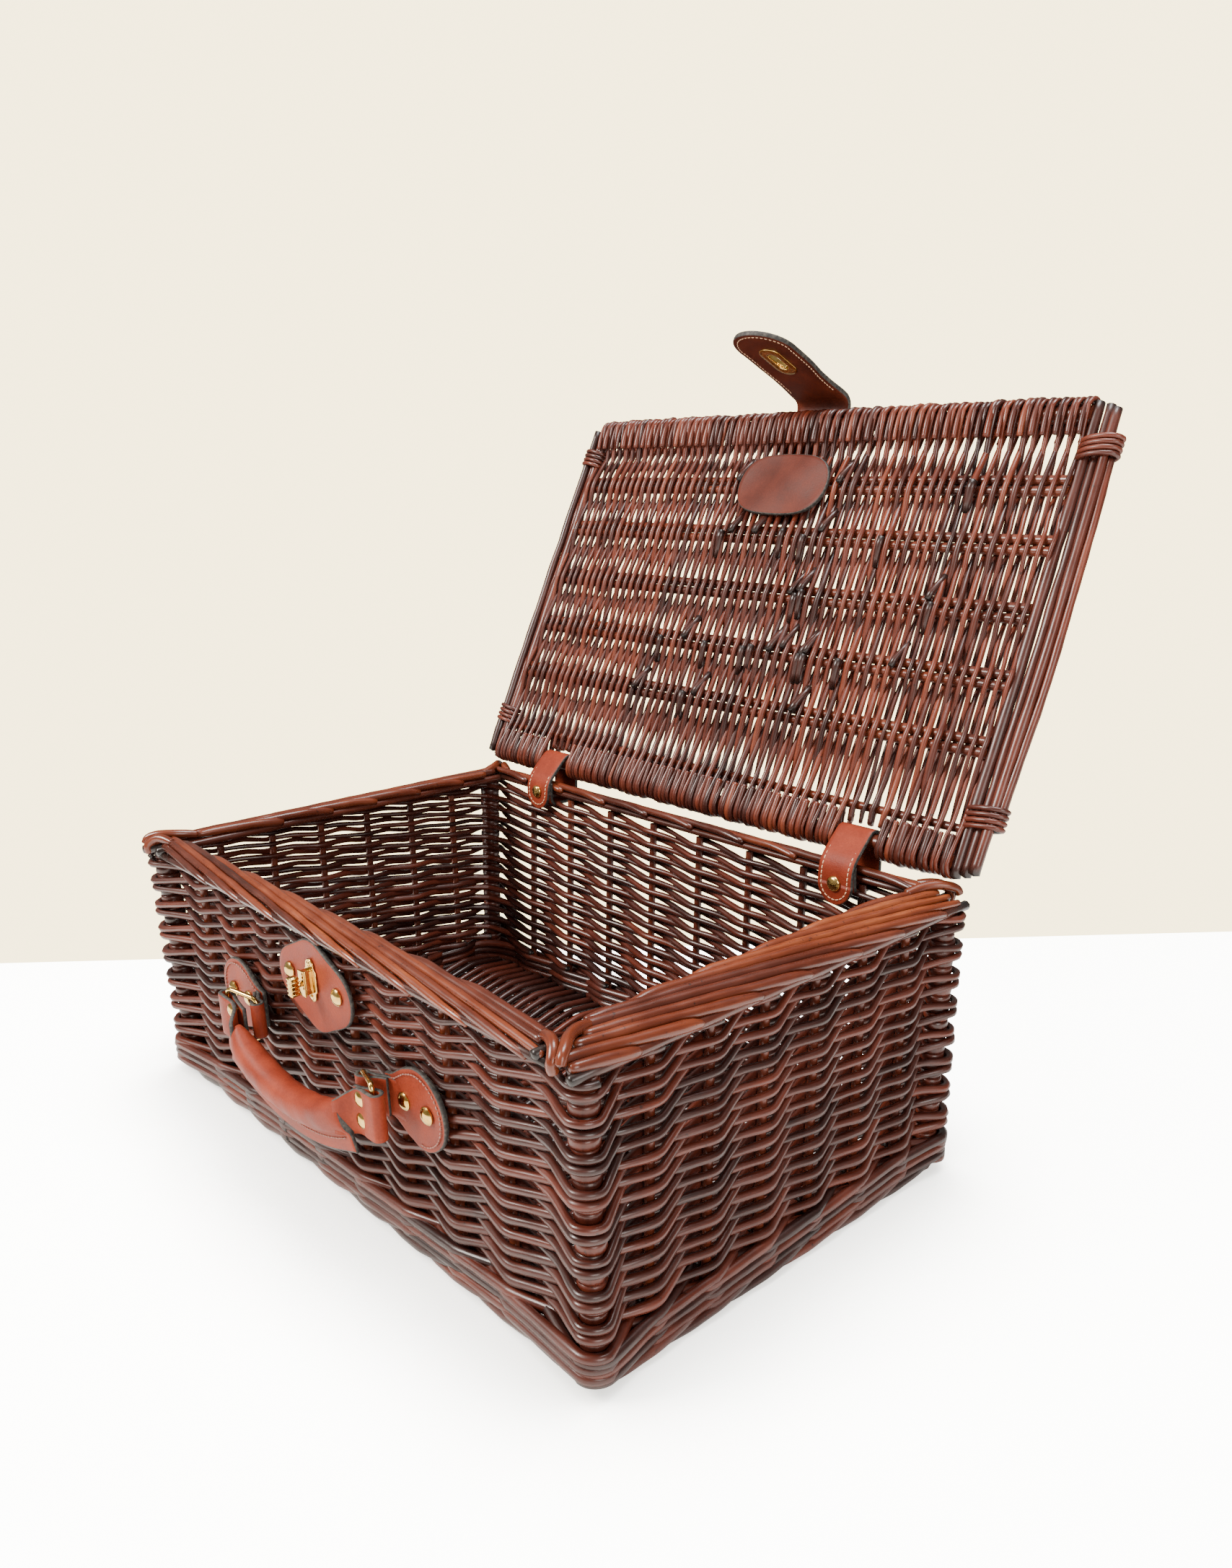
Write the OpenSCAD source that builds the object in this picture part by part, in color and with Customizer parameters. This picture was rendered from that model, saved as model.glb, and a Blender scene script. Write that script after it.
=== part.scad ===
// Woven willow hamper basket with a leather-hinged lid, strap clasp and carrying handle.
// Millimetres. +Z is up, the front (latch side) faces -Y. Origin: centre of the underside.

/* [Basket body] */
// Half depth of the woven body at the foot
half_depth_foot = 136; // [132:1:140]
// Half depth of the woven body under the rim
half_depth_rim = 142.5; // [140:0.5:143]
// Half length of the woven body at the foot
half_length_foot = 218; // [215:1:219]
// Half length of the woven body under the rim
half_length_rim = 220; // [219:0.5:221]
// Thickness of the woven walls
wall_t = 12; // [11:0.5:13]
// Height of the top of the rim
rim_z = 172; // [172:1:173]

/* [Stakes] */
// Diameter of the upright stakes
stake_d = 5; // [4:0.5:6]
// Spacing of the stakes along the front and back
stake_gap_long = 44.5; // [43:0.5:46]
// Spacing of the stakes along the two ends
stake_gap_short = 38.5; // [37:0.5:39]
// Diameter of the thick corner poles
pole_d = 14; // [13:0.5:14]

/* [Lid] */
// Opening angle of the lid in the drawn pose, from closed
lid_open = 116; // [100:1:120]
// Diameter of the rod in the hinge edge and the front edge
lid_rod_d = 10; // [9:0.5:10]
// Thickness of the woven lid panel
lid_t = 11; // [10:0.5:11]
// Distance from the hinge line to the front rod
lid_reach = 272; // [270:1:273]

/* [Handle] */
// Diameter of the padded grip
grip_d = 17.4; // [15:0.2:17.8]
// Sag of the grip below the line through its ends
grip_sag = 14; // [11:1:17]
// Diameter of the ring wire
ring_wire_d = 2.8; // [2.4:0.2:2.8]

/* [Hidden] */
$fn = 48;
tt = (half_depth_rim - half_depth_foot) / 168;
ts = (half_length_rim - half_length_foot) / 168;
tilt = atan(tt);
// depth of the stakes' centre line behind the outer face of a wall
stake_in = 7;
foot_h = 9;
wall_z0 = 9.2;
wall_z1 = 159.8;
hinge_y = 146.5;
hinge_z = 183;
strap_x = 138;
strap_w = 25;
rod_r = lid_rod_d / 2;
pairs_u = [227.5, 190.3, 148.6, 108, 68];
pair_r = 3.1;
pair_off = 3.4;
side_x = [213.5, 220.3, 227.1];
side_r = 3.3;
willow = "#7a4030";
rimc = "#95553a";
leather = "#96503f";
brass = "#d0a550";

// ---- helpers ----

function front_y(z) = -(half_depth_foot + tt * z);
function side_x_at(z) = half_length_foot + ts * z;

// rod between two points
module rod(a, b, r) {
  v = b - a;
  l = norm(v);
  translate(a)
    rotate([0, acos(v.z / l), atan2(v.y, v.x)])
      cylinder(h = l, r = r);
}

// outline given as (y, z), drawn out along X
module prism_x(pts, x0, x1) {
  translate([x0, 0, 0])
    rotate([90, 0, 90])
      linear_extrude(x1 - x0)
        polygon(pts);
}

// outline given as (x, z), drawn out along Y
module prism_y(pts, y0, y1) {
  translate([0, y1, 0])
    rotate([90, 0, 0])
      linear_extrude(y1 - y0)
        polygon(pts);
}

// the front wall as a drawing plane: x along, y up the wall, z outward
module on_front(z0) {
  translate([0, front_y(z0), z0])
    rotate([90 + tilt, 0, 0])
      children();
}

// the closed lid as a drawing frame: hinge line at the origin, lid toward -Y, outside up
module in_lid() {
  translate([0, hinge_y, hinge_z])
    rotate([-lid_open, 0, 0])
      children();
}

// domed cap of a rivet on the plane z = 0
module dome(r, h) {
  big = (r * r + h * h) / (2 * h);
  difference() {
    translate([0, 0, h - big])
      sphere(r = big);
    translate([-20, -20, -40])
      cube([40, 40, 40]);
  }
}

// the same with a short straight skirt
module cap(r, h) {
  cylinder(h = 0.7, r = r);
  translate([0, 0, 0.7])
    dome(r, h - 0.7);
}

module capsule2d(l, w) {
  square([l - w, w], center = true);
  for (s = [-1, 1])
    translate([s * (l - w) / 2, 0])
      circle(d = w);
}

// ---- base ----

module base_panel() {
  color(willow)
    difference() {
      translate([-205.9, -124, 3])
        cube([411.8, 248, 9]);
      for (y = [-96, -48, 0, 48, 96])
        rod([-210, y, 7.5], [210, y, 7.5], 3);
    }
}

module base_sticks() {
  color(willow)
    for (y = [-96, -48, 0, 48, 96])
      rod([-205.9, y, 7.5], [205.9, y, 7.5], 3);
}

module foot_outline(hx, hy, r) {
  square([2 * hx, 2 * (hy - r)], center = true);
  square([2 * (hx - r), 2 * hy], center = true);
  for (sx = [-1, 1])
    for (sy = [-1, 1])
      translate([sx * (hx - r), sy * (hy - r)])
        circle(r = r);
}

module foot_border() {
  color(willow)
    difference() {
      linear_extrude(foot_h)
        foot_outline(220, 137.5, 12);
      translate([-206.2, -124.3, -1])
        cube([412.4, 248.6, foot_h + 2]);
    }
}

// ---- corner poles ----

module pole(sx, sy) {
  c = pole_d / 2 + 0.5;
  rod([sx * (side_x_at(wall_z0) - c), sy * (-front_y(wall_z0) - c), wall_z0],
      [sx * (side_x_at(wall_z1) - c), sy * (-front_y(wall_z1) - c), wall_z1], pole_d / 2);
}

module corner_pole_fl() { color(willow) pole(-1, -1); }
module corner_pole_fr() { color(willow) pole(1, -1); }
module corner_pole_bl() { color(willow) pole(-1, 1); }
module corner_pole_br() { color(willow) pole(1, 1); }

// ---- stakes ----

module long_stakes(s) {
  for (i = [-3.5:1:3.5])
    rod([i * stake_gap_long, s * (-front_y(wall_z0) - stake_in), wall_z0],
        [i * stake_gap_long, s * (-front_y(wall_z1) - stake_in), wall_z1], stake_d / 2);
}

module short_stakes(s) {
  for (i = [-2.5:1:2.5])
    rod([s * (side_x_at(wall_z0) - stake_in), i * stake_gap_short, wall_z0],
        [s * (side_x_at(wall_z1) - stake_in), i * stake_gap_short, wall_z1], stake_d / 2);
}

module stakes_front() { color(willow) long_stakes(-1); }
module stakes_back() { color(willow) long_stakes(1); }
module stakes_left() { color(willow) short_stakes(-1); }
module stakes_right() { color(willow) short_stakes(1); }

// ---- woven walls ----

module long_wall(s) {
  a = -front_y(wall_z0);
  b = -front_y(wall_z1);
  difference() {
    prism_x([[s * a, wall_z0], [s * b, wall_z1],
             [s * (b - wall_t), wall_z1], [s * (a - wall_t), wall_z0]], -207, 207);
    long_stakes(s);
    pole(-1, s);
    pole(1, s);
  }
}

module short_wall(s) {
  a = side_x_at(wall_z0);
  b = side_x_at(wall_z1);
  difference() {
    prism_y([[s * a, wall_z0], [s * b, wall_z1],
             [s * (b - wall_t), wall_z1], [s * (a - wall_t), wall_z0]], -126, 126);
    short_stakes(s);
    pole(s, -1);
    pole(s, 1);
  }
}

module wall_front() { color(willow) long_wall(-1); }

module wall_back() {
  color(willow)
    difference() {
      long_wall(1);
      // slots the hinge straps come back through
      for (s = [-1, 1])
        translate([s * strap_x - strap_w / 2 - 0.5, 120, 152.6])
          cube([strap_w + 1, 30, 4.5]);
    }
}

module wall_left() { color(willow) short_wall(-1); }
module wall_right() { color(willow) short_wall(1); }

// ---- rim ----

module long_rim(s) {
  for (y = [133.2, 138.3, 143.4])
    rod([-192, s * y, rim_z - 2.7], [192, s * y, rim_z - 2.7], 2.7);
  translate([-192, s * 138.25 - 6.75, 160])
    cube([384, 13.5, rim_z - 162.7]);
}

module short_rim(s) {
  for (x = [196, 203.3, 210.6, 217.9])
    rod([s * x, -145.6, rim_z - 3.8], [s * x, 145.6, rim_z - 3.8], 3.8);
  translate([s * 207 - 13.3, -145.2, 160])
    cube([26.6, 290.4, rim_z - 163.8]);
}

module rim_front() { color(rimc) long_rim(-1); }
module rim_back() { color(rimc) long_rim(1); }
module rim_left() { color(rimc) short_rim(-1); }
module rim_right() { color(rimc) short_rim(1); }

// ---- hinge straps ----

module hinge_strap(s) {
  x0 = s * strap_x - strap_w / 2;
  x1 = s * strap_x + strap_w / 2;
  difference() {
    union() {
      translate([x0, hinge_y, hinge_z])
        rotate([0, 90, 0])
          cylinder(h = strap_w, r = 7.8);
      // over the rim, down inside
      prism_x([[124.2, 150], [126.9, 150], [126.9, 173.2], [152, 173.2],
               [152, 175.9], [124.2, 175.9]], x0, x1);
      // down behind the rim, back through the wall, up behind the inside end
      prism_x([[151.6, hinge_z], [154.3, hinge_z], [154.3, 153.5], [126.9, 153.5],
               [126.9, 172], [129.6, 172], [129.6, 156.2], [151.6, 156.2]], x0, x1);
    }
    translate([x0 - 1, hinge_y, hinge_z])
      rotate([0, 90, 0])
        cylinder(h = strap_w + 2, r = rod_r + 0.05);
    rod([s * strap_x, 120, 163], [s * strap_x, 135, 163], 2);
  }
}

module hinge_strap_left() { color(leather) hinge_strap(-1); }
module hinge_strap_right() { color(leather) hinge_strap(1); }

module hinge_rivets() {
  color(brass)
    for (s = [-1, 1]) {
      rod([s * strap_x, 124.2, 163], [s * strap_x, 129.6, 163], 2);
      translate([s * strap_x, 124.2, 163])
        rotate([90, 0, 0])
          cap(4.75, 2.4);
    }
}

// ---- latch ----

module latch_plate() {
  color(leather)
    on_front(133)
      difference() {
        linear_extrude(3)
          difference() {
            union() {
              translate([0, -2])
                circle(r = 27, $fn = 96);
              translate([0, -2])
                capsule2d(81, 34);
            }
            for (s = [-1, 1])
              translate([s * 25.5, 0])
                circle(r = 2);
          }
      }
}

module latch_rivets() {
  color(brass)
    on_front(133)
      for (s = [-1, 1])
        translate([s * 25.5, 0, 0]) {
          cylinder(h = 3, r = 2);
          translate([0, 0, 3])
            cap(4.9, 2.8);
        }
}

module latch_base() {
  color(brass)
    on_front(133)
      translate([0, 2, 3])
        difference() {
          union() {
            linear_extrude(1.2) {
              square([11.5, 15], center = true);
              for (s = [-1, 1])
                translate([0, s * 8.8])
                  circle(r = 3.9);
              square([7.8, 17.6], center = true);
            }
            translate([-2.6, -7, 1.2])
              cube([5.2, 14, 5.4]);
            translate([-3.1, -7.5, 5.7])
              cube([6.2, 15, 0.9]);
            for (s = [-1, 1])
              translate([0, s * 9.9, 1.2])
                dome(1.7, 0.8);
          }
          translate([0, 0, 2.8])
            cylinder(h = 10, r = 1.65);
        }
}

module latch_knob() {
  color(brass)
    on_front(133)
      translate([0, 2, 0]) {
        translate([0, 0, 6])
          cylinder(h = 6.4, r = 1.6);
        translate([-1.9, -5.7, 11.9])
          cube([3.8, 11.4, 5.2]);
        for (y = [-4.6, -2.3, 0, 2.3, 4.6])
          translate([-2.6, y - 0.75, 11.9])
            cube([5.2, 1.5, 4.9]);
      }
}

// ---- handle, drawn for the +X side and mirrored ----

module side(s) {
  on_front(94)
    scale([s, 1, 1])
      children();
}

module mount_plate() {
  difference() {
    linear_extrude(3.2) {
      translate([97, 1.5])
        circle(r = 22, $fn = 96);
      polygon([[68, -12], [97, -20], [97, 23], [68, 12]]);
    }
    for (x = [84.5, 104.5])
      translate([x, 2, -1])
        cylinder(h = 6, r = 2);
  }
}

module mount_rivets() {
  for (x = [84.5, 104.5])
    translate([x, 2, 0]) {
      cylinder(h = 3.2, r = 2);
      translate([0, 0, 3.2])
        cap(4.9, 2.8);
    }
}

// leather sleeve on the inner leg of the ring
module mount_loop() {
  difference() {
    union() {
      rod([58, -11, 10.5], [58, 11, 10.5], 4.1);
      translate([58, -11, 5.8])
        cube([7.5, 22, 3]);
    }
    rod([58, -12, 10.5], [58, 12, 10.5], ring_wire_d / 2 + 0.04);
  }
}

module ring() {
  r = ring_wire_d / 2;
  p = [[58, -12.5, 10.5], [58, 12.5, 10.5], [80, 15.5, 18], [80, -15.5, 18]];
  for (i = [0:3]) {
    rod(p[i], p[(i + 1) % 4], r);
    translate(p[i])
      sphere(r = r);
  }
}

// leather fold on the outer leg of the ring
module tab_loop() {
  difference() {
    union() {
      rod([80, -13.1, 18], [80, 13.1, 18], 4.3);
      rod([83.2, -13.1, 18], [83.2, 13.1, 18], 4.3);
      translate([80, -13.1, 13.7])
        cube([3.2, 26.2, 8.6]);
    }
    rod([80, -16, 18], [80, 16, 18], ring_wire_d / 2 + 0.04);
  }
}

module handle_tab() {
  difference() {
    translate([0, 0, 15.6])
      linear_extrude(4.8)
        polygon([[75.3, -12.5], [68, -12.6], [63.5, -18], [63.5, 8.5], [68, 12.4], [75.3, 12.5]]);
    for (y = [-6, 6])
      translate([71, y - 1, 10])
        cylinder(h = 15, r = 1.8);
  }
}

module tab_rivets() {
  for (y = [-6, 6])
    translate([71, y - 1, 15.6]) {
      cylinder(h = 4.8, r = 1.8);
      translate([0, 0, 4.8])
        cap(4.2, 2.2);
    }
}

grip_rise = 60;
grip_big = (grip_rise * grip_rise + grip_sag * grip_sag) / (2 * grip_sag);
grip_half = asin(grip_rise / grip_big);

// section drawn at radius grip_big, swept through the hanging arc of the grip
module grip_arc() {
  on_front(94)
    translate([0, grip_big - 7 - grip_sag, 24])
      rotate([0, 0, -90 - grip_half])
        rotate_extrude(angle = 2 * grip_half, $fn = 160)
          translate([grip_big, 0])
            children();
}

module handle_grip() {
  color(leather)
    grip_arc()
      difference() {
        union() {
          circle(d = grip_d);
          translate([7, -2])
            square([11.3, 4]);
        }
        circle(r = 4);
      }
}

module handle_core() {
  color(willow)
    grip_arc()
      circle(r = 4);
}

module handle_mount_left() { color(leather) side(-1) mount_plate(); }
module handle_mount_right() { color(leather) side(1) mount_plate(); }
module mount_rivets_left() { color(brass) side(-1) mount_rivets(); }
module mount_rivets_right() { color(brass) side(1) mount_rivets(); }
module mount_loop_left() { color(leather) side(-1) mount_loop(); }
module mount_loop_right() { color(leather) side(1) mount_loop(); }
module ring_left() { color(brass) side(-1) ring(); }
module ring_right() { color(brass) side(1) ring(); }
module tab_loop_left() { color(leather) side(-1) tab_loop(); }
module tab_loop_right() { color(leather) side(1) tab_loop(); }
module handle_tab_left() { color(leather) side(-1) handle_tab(); }
module handle_tab_right() { color(leather) side(1) handle_tab(); }
module tab_rivets_left() { color(brass) side(-1) tab_rivets(); }
module tab_rivets_right() { color(brass) side(1) tab_rivets(); }

// ---- lid, drawn closed and turned open by in_lid() ----

module pair_rods(u, r, x) {
  for (s = [-1, 1])
    rod([-x, -u + s * pair_off, 0], [x, -u + s * pair_off, 0], r);
}

module lid_panel() {
  color(willow)
    in_lid()
      difference() {
        union() {
          translate([-209.7, -lid_reach, -lid_t / 2])
            cube([419.4, lid_reach - 4, lid_t]);
          rod([-209.7, -lid_reach, 0], [209.7, -lid_reach, 0], 9);
          rod([-209.7, 0, 0], [209.7, 0, 0], 8.5);
        }
        rod([-211, 0, 0], [211, 0, 0], rod_r);
        rod([-211, -lid_reach, 0], [211, -lid_reach, 0], rod_r);
        rod([-211, -19.5, 0], [211, -19.5, 0], 2.6);
        for (u = pairs_u)
          pair_rods(u, pair_r, 211);
        // open places for the hinge straps
        for (s = [-1, 1])
          translate([s * strap_x - 15.3, -16, -12])
            cube([30.6, 30, 24]);
        for (s = [-1, 1])
          translate([s * 13, -225, -10])
            cylinder(h = 20, r = 2);
      }
}

module lid_front_rod() {
  color(rimc)
    in_lid()
      rod([-209.7, -lid_reach, 0], [209.7, -lid_reach, 0], rod_r);
}

module lid_hinge_rod() {
  color(willow)
    in_lid()
      rod([-209.7, 0, 0], [209.7, 0, 0], rod_r);
}

module lid_hinge_stick() {
  color(willow)
    in_lid()
      rod([-209.7, -19.5, 0], [209.7, -19.5, 0], 2.6);
}

module lid_pair(i) {
  color(willow)
    in_lid()
      difference() {
        pair_rods(pairs_u[i], pair_r, 209.6);
        for (s = [-1, 1])
          translate([s * 13, -225, -10])
            cylinder(h = 20, r = 2);
      }
}

module lid_stick_pair_1() { lid_pair(0); }
module lid_stick_pair_2() { lid_pair(1); }
module lid_stick_pair_3() { lid_pair(2); }
module lid_stick_pair_4() { lid_pair(3); }
module lid_stick_pair_5() { lid_pair(4); }

module lid_side(s) {
  color(willow)
    in_lid()
      for (x = side_x)
        rod([s * x, 8.5, 0], [s * x, -lid_reach - 9, 0], side_r);
}

module lid_side_rods_left() { lid_side(-1); }
module lid_side_rods_right() { lid_side(1); }

module lid_bindings() {
  color(willow)
    in_lid()
      for (s = [-1, 1])
        for (u = [28, 250])
          difference() {
            translate([s * 220.5 - 10.6, -u - 4, -4.8])
              cube([21.2, 8, 9.6]);
            for (x = side_x)
              rod([s * x, -u - 5, 0], [s * x, -u + 5, 0], side_r);
          }
}

// ---- clasp ----

clasp_plane = 296.5;
clasp_axis_u = clasp_plane - 8.35;

module clasp_patch() {
  color(leather)
    in_lid()
      translate([0, -225, -8.5])
        linear_extrude(2.9)
          capsule2d(78, 47);
}

module clasp_rivets() {
  color(brass)
    in_lid()
      for (s = [-1, 1])
        translate([s * 13, -225, 0]) {
          translate([0, 0, -5.4])
            cylinder(h = 14.2, r = 2);
          translate([0, 0, 8.8])
            dome(4.5, 2.2);
        }
}

module clasp_base() {
  u1 = clasp_axis_u - 1.9;
  color(leather)
    in_lid()
      difference() {
        prism_x([[-202, 5.6], [-254, 5.6], [-262, 9.2], [-u1, 9.2],
                 [-u1, 12.4], [-261, 12.4], [-253, 8.8], [-202, 8.8]], -22, 22);
        for (s = [-1, 1])
          translate([s * 13, -225, 0])
            cylinder(h = 20, r = 2);
      }
}

module clasp_strap() {
  color(leather)
    in_lid() {
      difference() {
        union() {
          rod([-22, -clasp_axis_u, 10.8], [22, -clasp_axis_u, 10.8], 1.6);
          // the bend over the front edge
          translate([-22, -clasp_plane + 8.2, 2.6])
            rotate([0, 90, 0])
              rotate([0, 0, 180])
                rotate_extrude(angle = 90, $fn = 64)
                  translate([6.6, 0])
                    square([3.2, 44]);
          translate([0, -clasp_plane + 1.6, 0])
            rotate([90, 0, 0])
              linear_extrude(3.2) {
                translate([-21, -60])
                  square([42, 62.7]);
                translate([0, -62])
                  circle(r = 22.5, $fn = 96);
              }
        }
        translate([0, -clasp_plane + 10, -48])
          rotate([90, 90, 0])
            linear_extrude(20)
              capsule2d(28.6, 12);
      }
    }
}

module clasp_eyelet() {
  color(brass)
    in_lid()
      translate([0, -clasp_plane, -48])
        rotate([90, 90, 0])
          difference() {
            union() {
              translate([0, 0, -2.3])
                linear_extrude(0.7)
                  capsule2d(34, 16.6);
              translate([0, 0, -1.7])
                linear_extrude(3.4)
                  capsule2d(28.6, 12);
              translate([0, 0, 1.6])
                linear_extrude(0.7)
                  capsule2d(34, 16.6);
            }
            translate([0, 0, -5])
              linear_extrude(10)
                capsule2d(19, 7.6);
          }
}

base_panel();
base_sticks();
foot_border();
wall_front();
wall_back();
wall_left();
wall_right();
corner_pole_fl();
corner_pole_fr();
corner_pole_bl();
corner_pole_br();
stakes_front();
stakes_back();
stakes_left();
stakes_right();
rim_front();
rim_back();
rim_left();
rim_right();
hinge_strap_left();
hinge_strap_right();
hinge_rivets();
latch_plate();
latch_base();
latch_rivets();
latch_knob();
handle_mount_left();
handle_mount_right();
mount_rivets_left();
mount_rivets_right();
mount_loop_left();
mount_loop_right();
ring_left();
ring_right();
tab_loop_left();
tab_loop_right();
handle_tab_left();
handle_tab_right();
tab_rivets_left();
tab_rivets_right();
handle_grip();
handle_core();
lid_panel();
lid_front_rod();
lid_hinge_rod();
lid_hinge_stick();
lid_stick_pair_1();
lid_stick_pair_2();
lid_stick_pair_3();
lid_stick_pair_4();
lid_stick_pair_5();
lid_side_rods_left();
lid_side_rods_right();
lid_bindings();
clasp_patch();
clasp_rivets();
clasp_base();
clasp_strap();
clasp_eyelet();
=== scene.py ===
import bpy
import math
import random
import numpy as np
from mathutils import Matrix, Vector


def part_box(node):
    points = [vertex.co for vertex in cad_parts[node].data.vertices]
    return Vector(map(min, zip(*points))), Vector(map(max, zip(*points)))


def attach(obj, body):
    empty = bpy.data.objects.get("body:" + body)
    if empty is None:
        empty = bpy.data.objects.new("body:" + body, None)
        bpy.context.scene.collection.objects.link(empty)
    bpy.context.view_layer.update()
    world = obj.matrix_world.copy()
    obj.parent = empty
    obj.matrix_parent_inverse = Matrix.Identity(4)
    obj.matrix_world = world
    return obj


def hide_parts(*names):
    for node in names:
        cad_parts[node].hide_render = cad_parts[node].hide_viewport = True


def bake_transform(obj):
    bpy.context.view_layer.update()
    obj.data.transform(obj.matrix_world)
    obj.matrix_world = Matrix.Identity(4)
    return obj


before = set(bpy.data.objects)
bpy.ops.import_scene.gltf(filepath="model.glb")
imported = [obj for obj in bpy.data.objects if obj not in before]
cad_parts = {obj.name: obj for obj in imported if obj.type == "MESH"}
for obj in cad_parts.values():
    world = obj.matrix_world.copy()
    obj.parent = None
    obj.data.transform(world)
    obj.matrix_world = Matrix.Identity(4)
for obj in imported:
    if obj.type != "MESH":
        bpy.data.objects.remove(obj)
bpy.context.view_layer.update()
random.seed(11)
mm = 0.001

# sizes in millimetres; the walls lean out a little towards the rim
walls = {
    "halfDepthFoot": 136.0,
    "halfDepthRim": 142.5,
    "halfLengthFoot": 218.0,
    "halfLengthRim": 220.0,
    "leanHeight": 168.0,
    "stakeIn": 7.0,         # stakes' centre line behind the outer face
    "poleIn": 7.5,          # corner poles' centre behind both faces
    "poleR": 7.0,
    "stakeR": 2.5,
    "stakeGapLong": 44.5,
    "stakeGapShort": 38.5,
}
leanDepth = (walls["halfDepthRim"] - walls["halfDepthFoot"]) / walls["leanHeight"]
leanLength = (walls["halfLengthRim"] - walls["halfLengthFoot"]) / walls["leanHeight"]
leanAngle = math.atan(leanDepth)

hinge = {
    "y": (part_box("lid_hinge_rod")[0].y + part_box("lid_hinge_rod")[1].y) / 2 / mm,
    "z": (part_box("lid_hinge_rod")[0].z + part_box("lid_hinge_rod")[1].z) / 2 / mm,
    "open": math.radians(-116),
    "strapX": (-138.0, 143.0),
    "strapWidth": 25.0,
}


# ---------------------------------------------------------------- small helpers

def halfDepth(z):
    return walls["halfDepthFoot"] + leanDepth * z


def halfLength(z):
    return walls["halfLengthFoot"] + leanLength * z


def onFront(z0):
    # a point on the leaning front wall: x along it, up the wall, and out from it
    c, s = math.cos(leanAngle), math.sin(leanAngle)

    def place(x, up, out):
        return (x, -halfDepth(z0) - out * c - up * s, z0 - out * s + up * c)
    return place


def inLid(x, reach, out):
    # a point of the lid: reach is measured from the hinge line, out is its outer side
    c, s = math.cos(hinge["open"]), math.sin(hinge["open"])
    return (x, hinge["y"] - reach * c - out * s, hinge["z"] - reach * s + out * c)


def roundOff(points, times=1):
    # cuts every corner of a run of points, so that a bent rod gets soft kinks
    p = np.array(points, float)
    for _ in range(times):
        a = p[:-1] * 0.75 + p[1:] * 0.25
        b = p[:-1] * 0.25 + p[1:] * 0.75
        inner = np.empty((2 * len(a), 3))
        inner[0::2] = a
        inner[1::2] = b
        p = np.vstack([p[:1], inner, p[-1:]])
    return p


def pathRun(p):
    # the distance along a path at each of its points
    return np.concatenate([[0], np.cumsum(np.linalg.norm(np.diff(p, axis=0), axis=1))])


def pathAt(p, at):
    # the points of a path at these distances along it
    return np.column_stack([np.interp(at, pathRun(p), p[:, k]) for k in range(p.shape[1])])


def softPath(points, times):
    return roundOff([(a, b, 0) for a, b in points], times)[:, :2]


def arcPoints(cx, cy, r, a0, a1, steps):
    out = []
    for i in range(steps + 1):
        a = math.radians(a0 + (a1 - a0) * i / steps)
        out.append((cx + r * math.cos(a), cy + r * math.sin(a)))
    return out


def linkNew(name, data):
    made = bpy.data.objects.new(name, data)
    bpy.context.scene.collection.objects.link(made)
    return made


def selectOnly(piece):
    bpy.ops.object.select_all(action="DESELECT")
    piece.select_set(True)
    bpy.context.view_layer.objects.active = piece


def finishPiece(piece, bodyName, materials, replaced=()):
    for one in materials if isinstance(materials, list) else [materials]:
        piece.data.materials.append(one)
    for polygon in piece.data.polygons:
        polygon.use_smooth = True
    if bodyName:
        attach(piece, bodyName)
    if replaced:
        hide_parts(*replaced)


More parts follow.
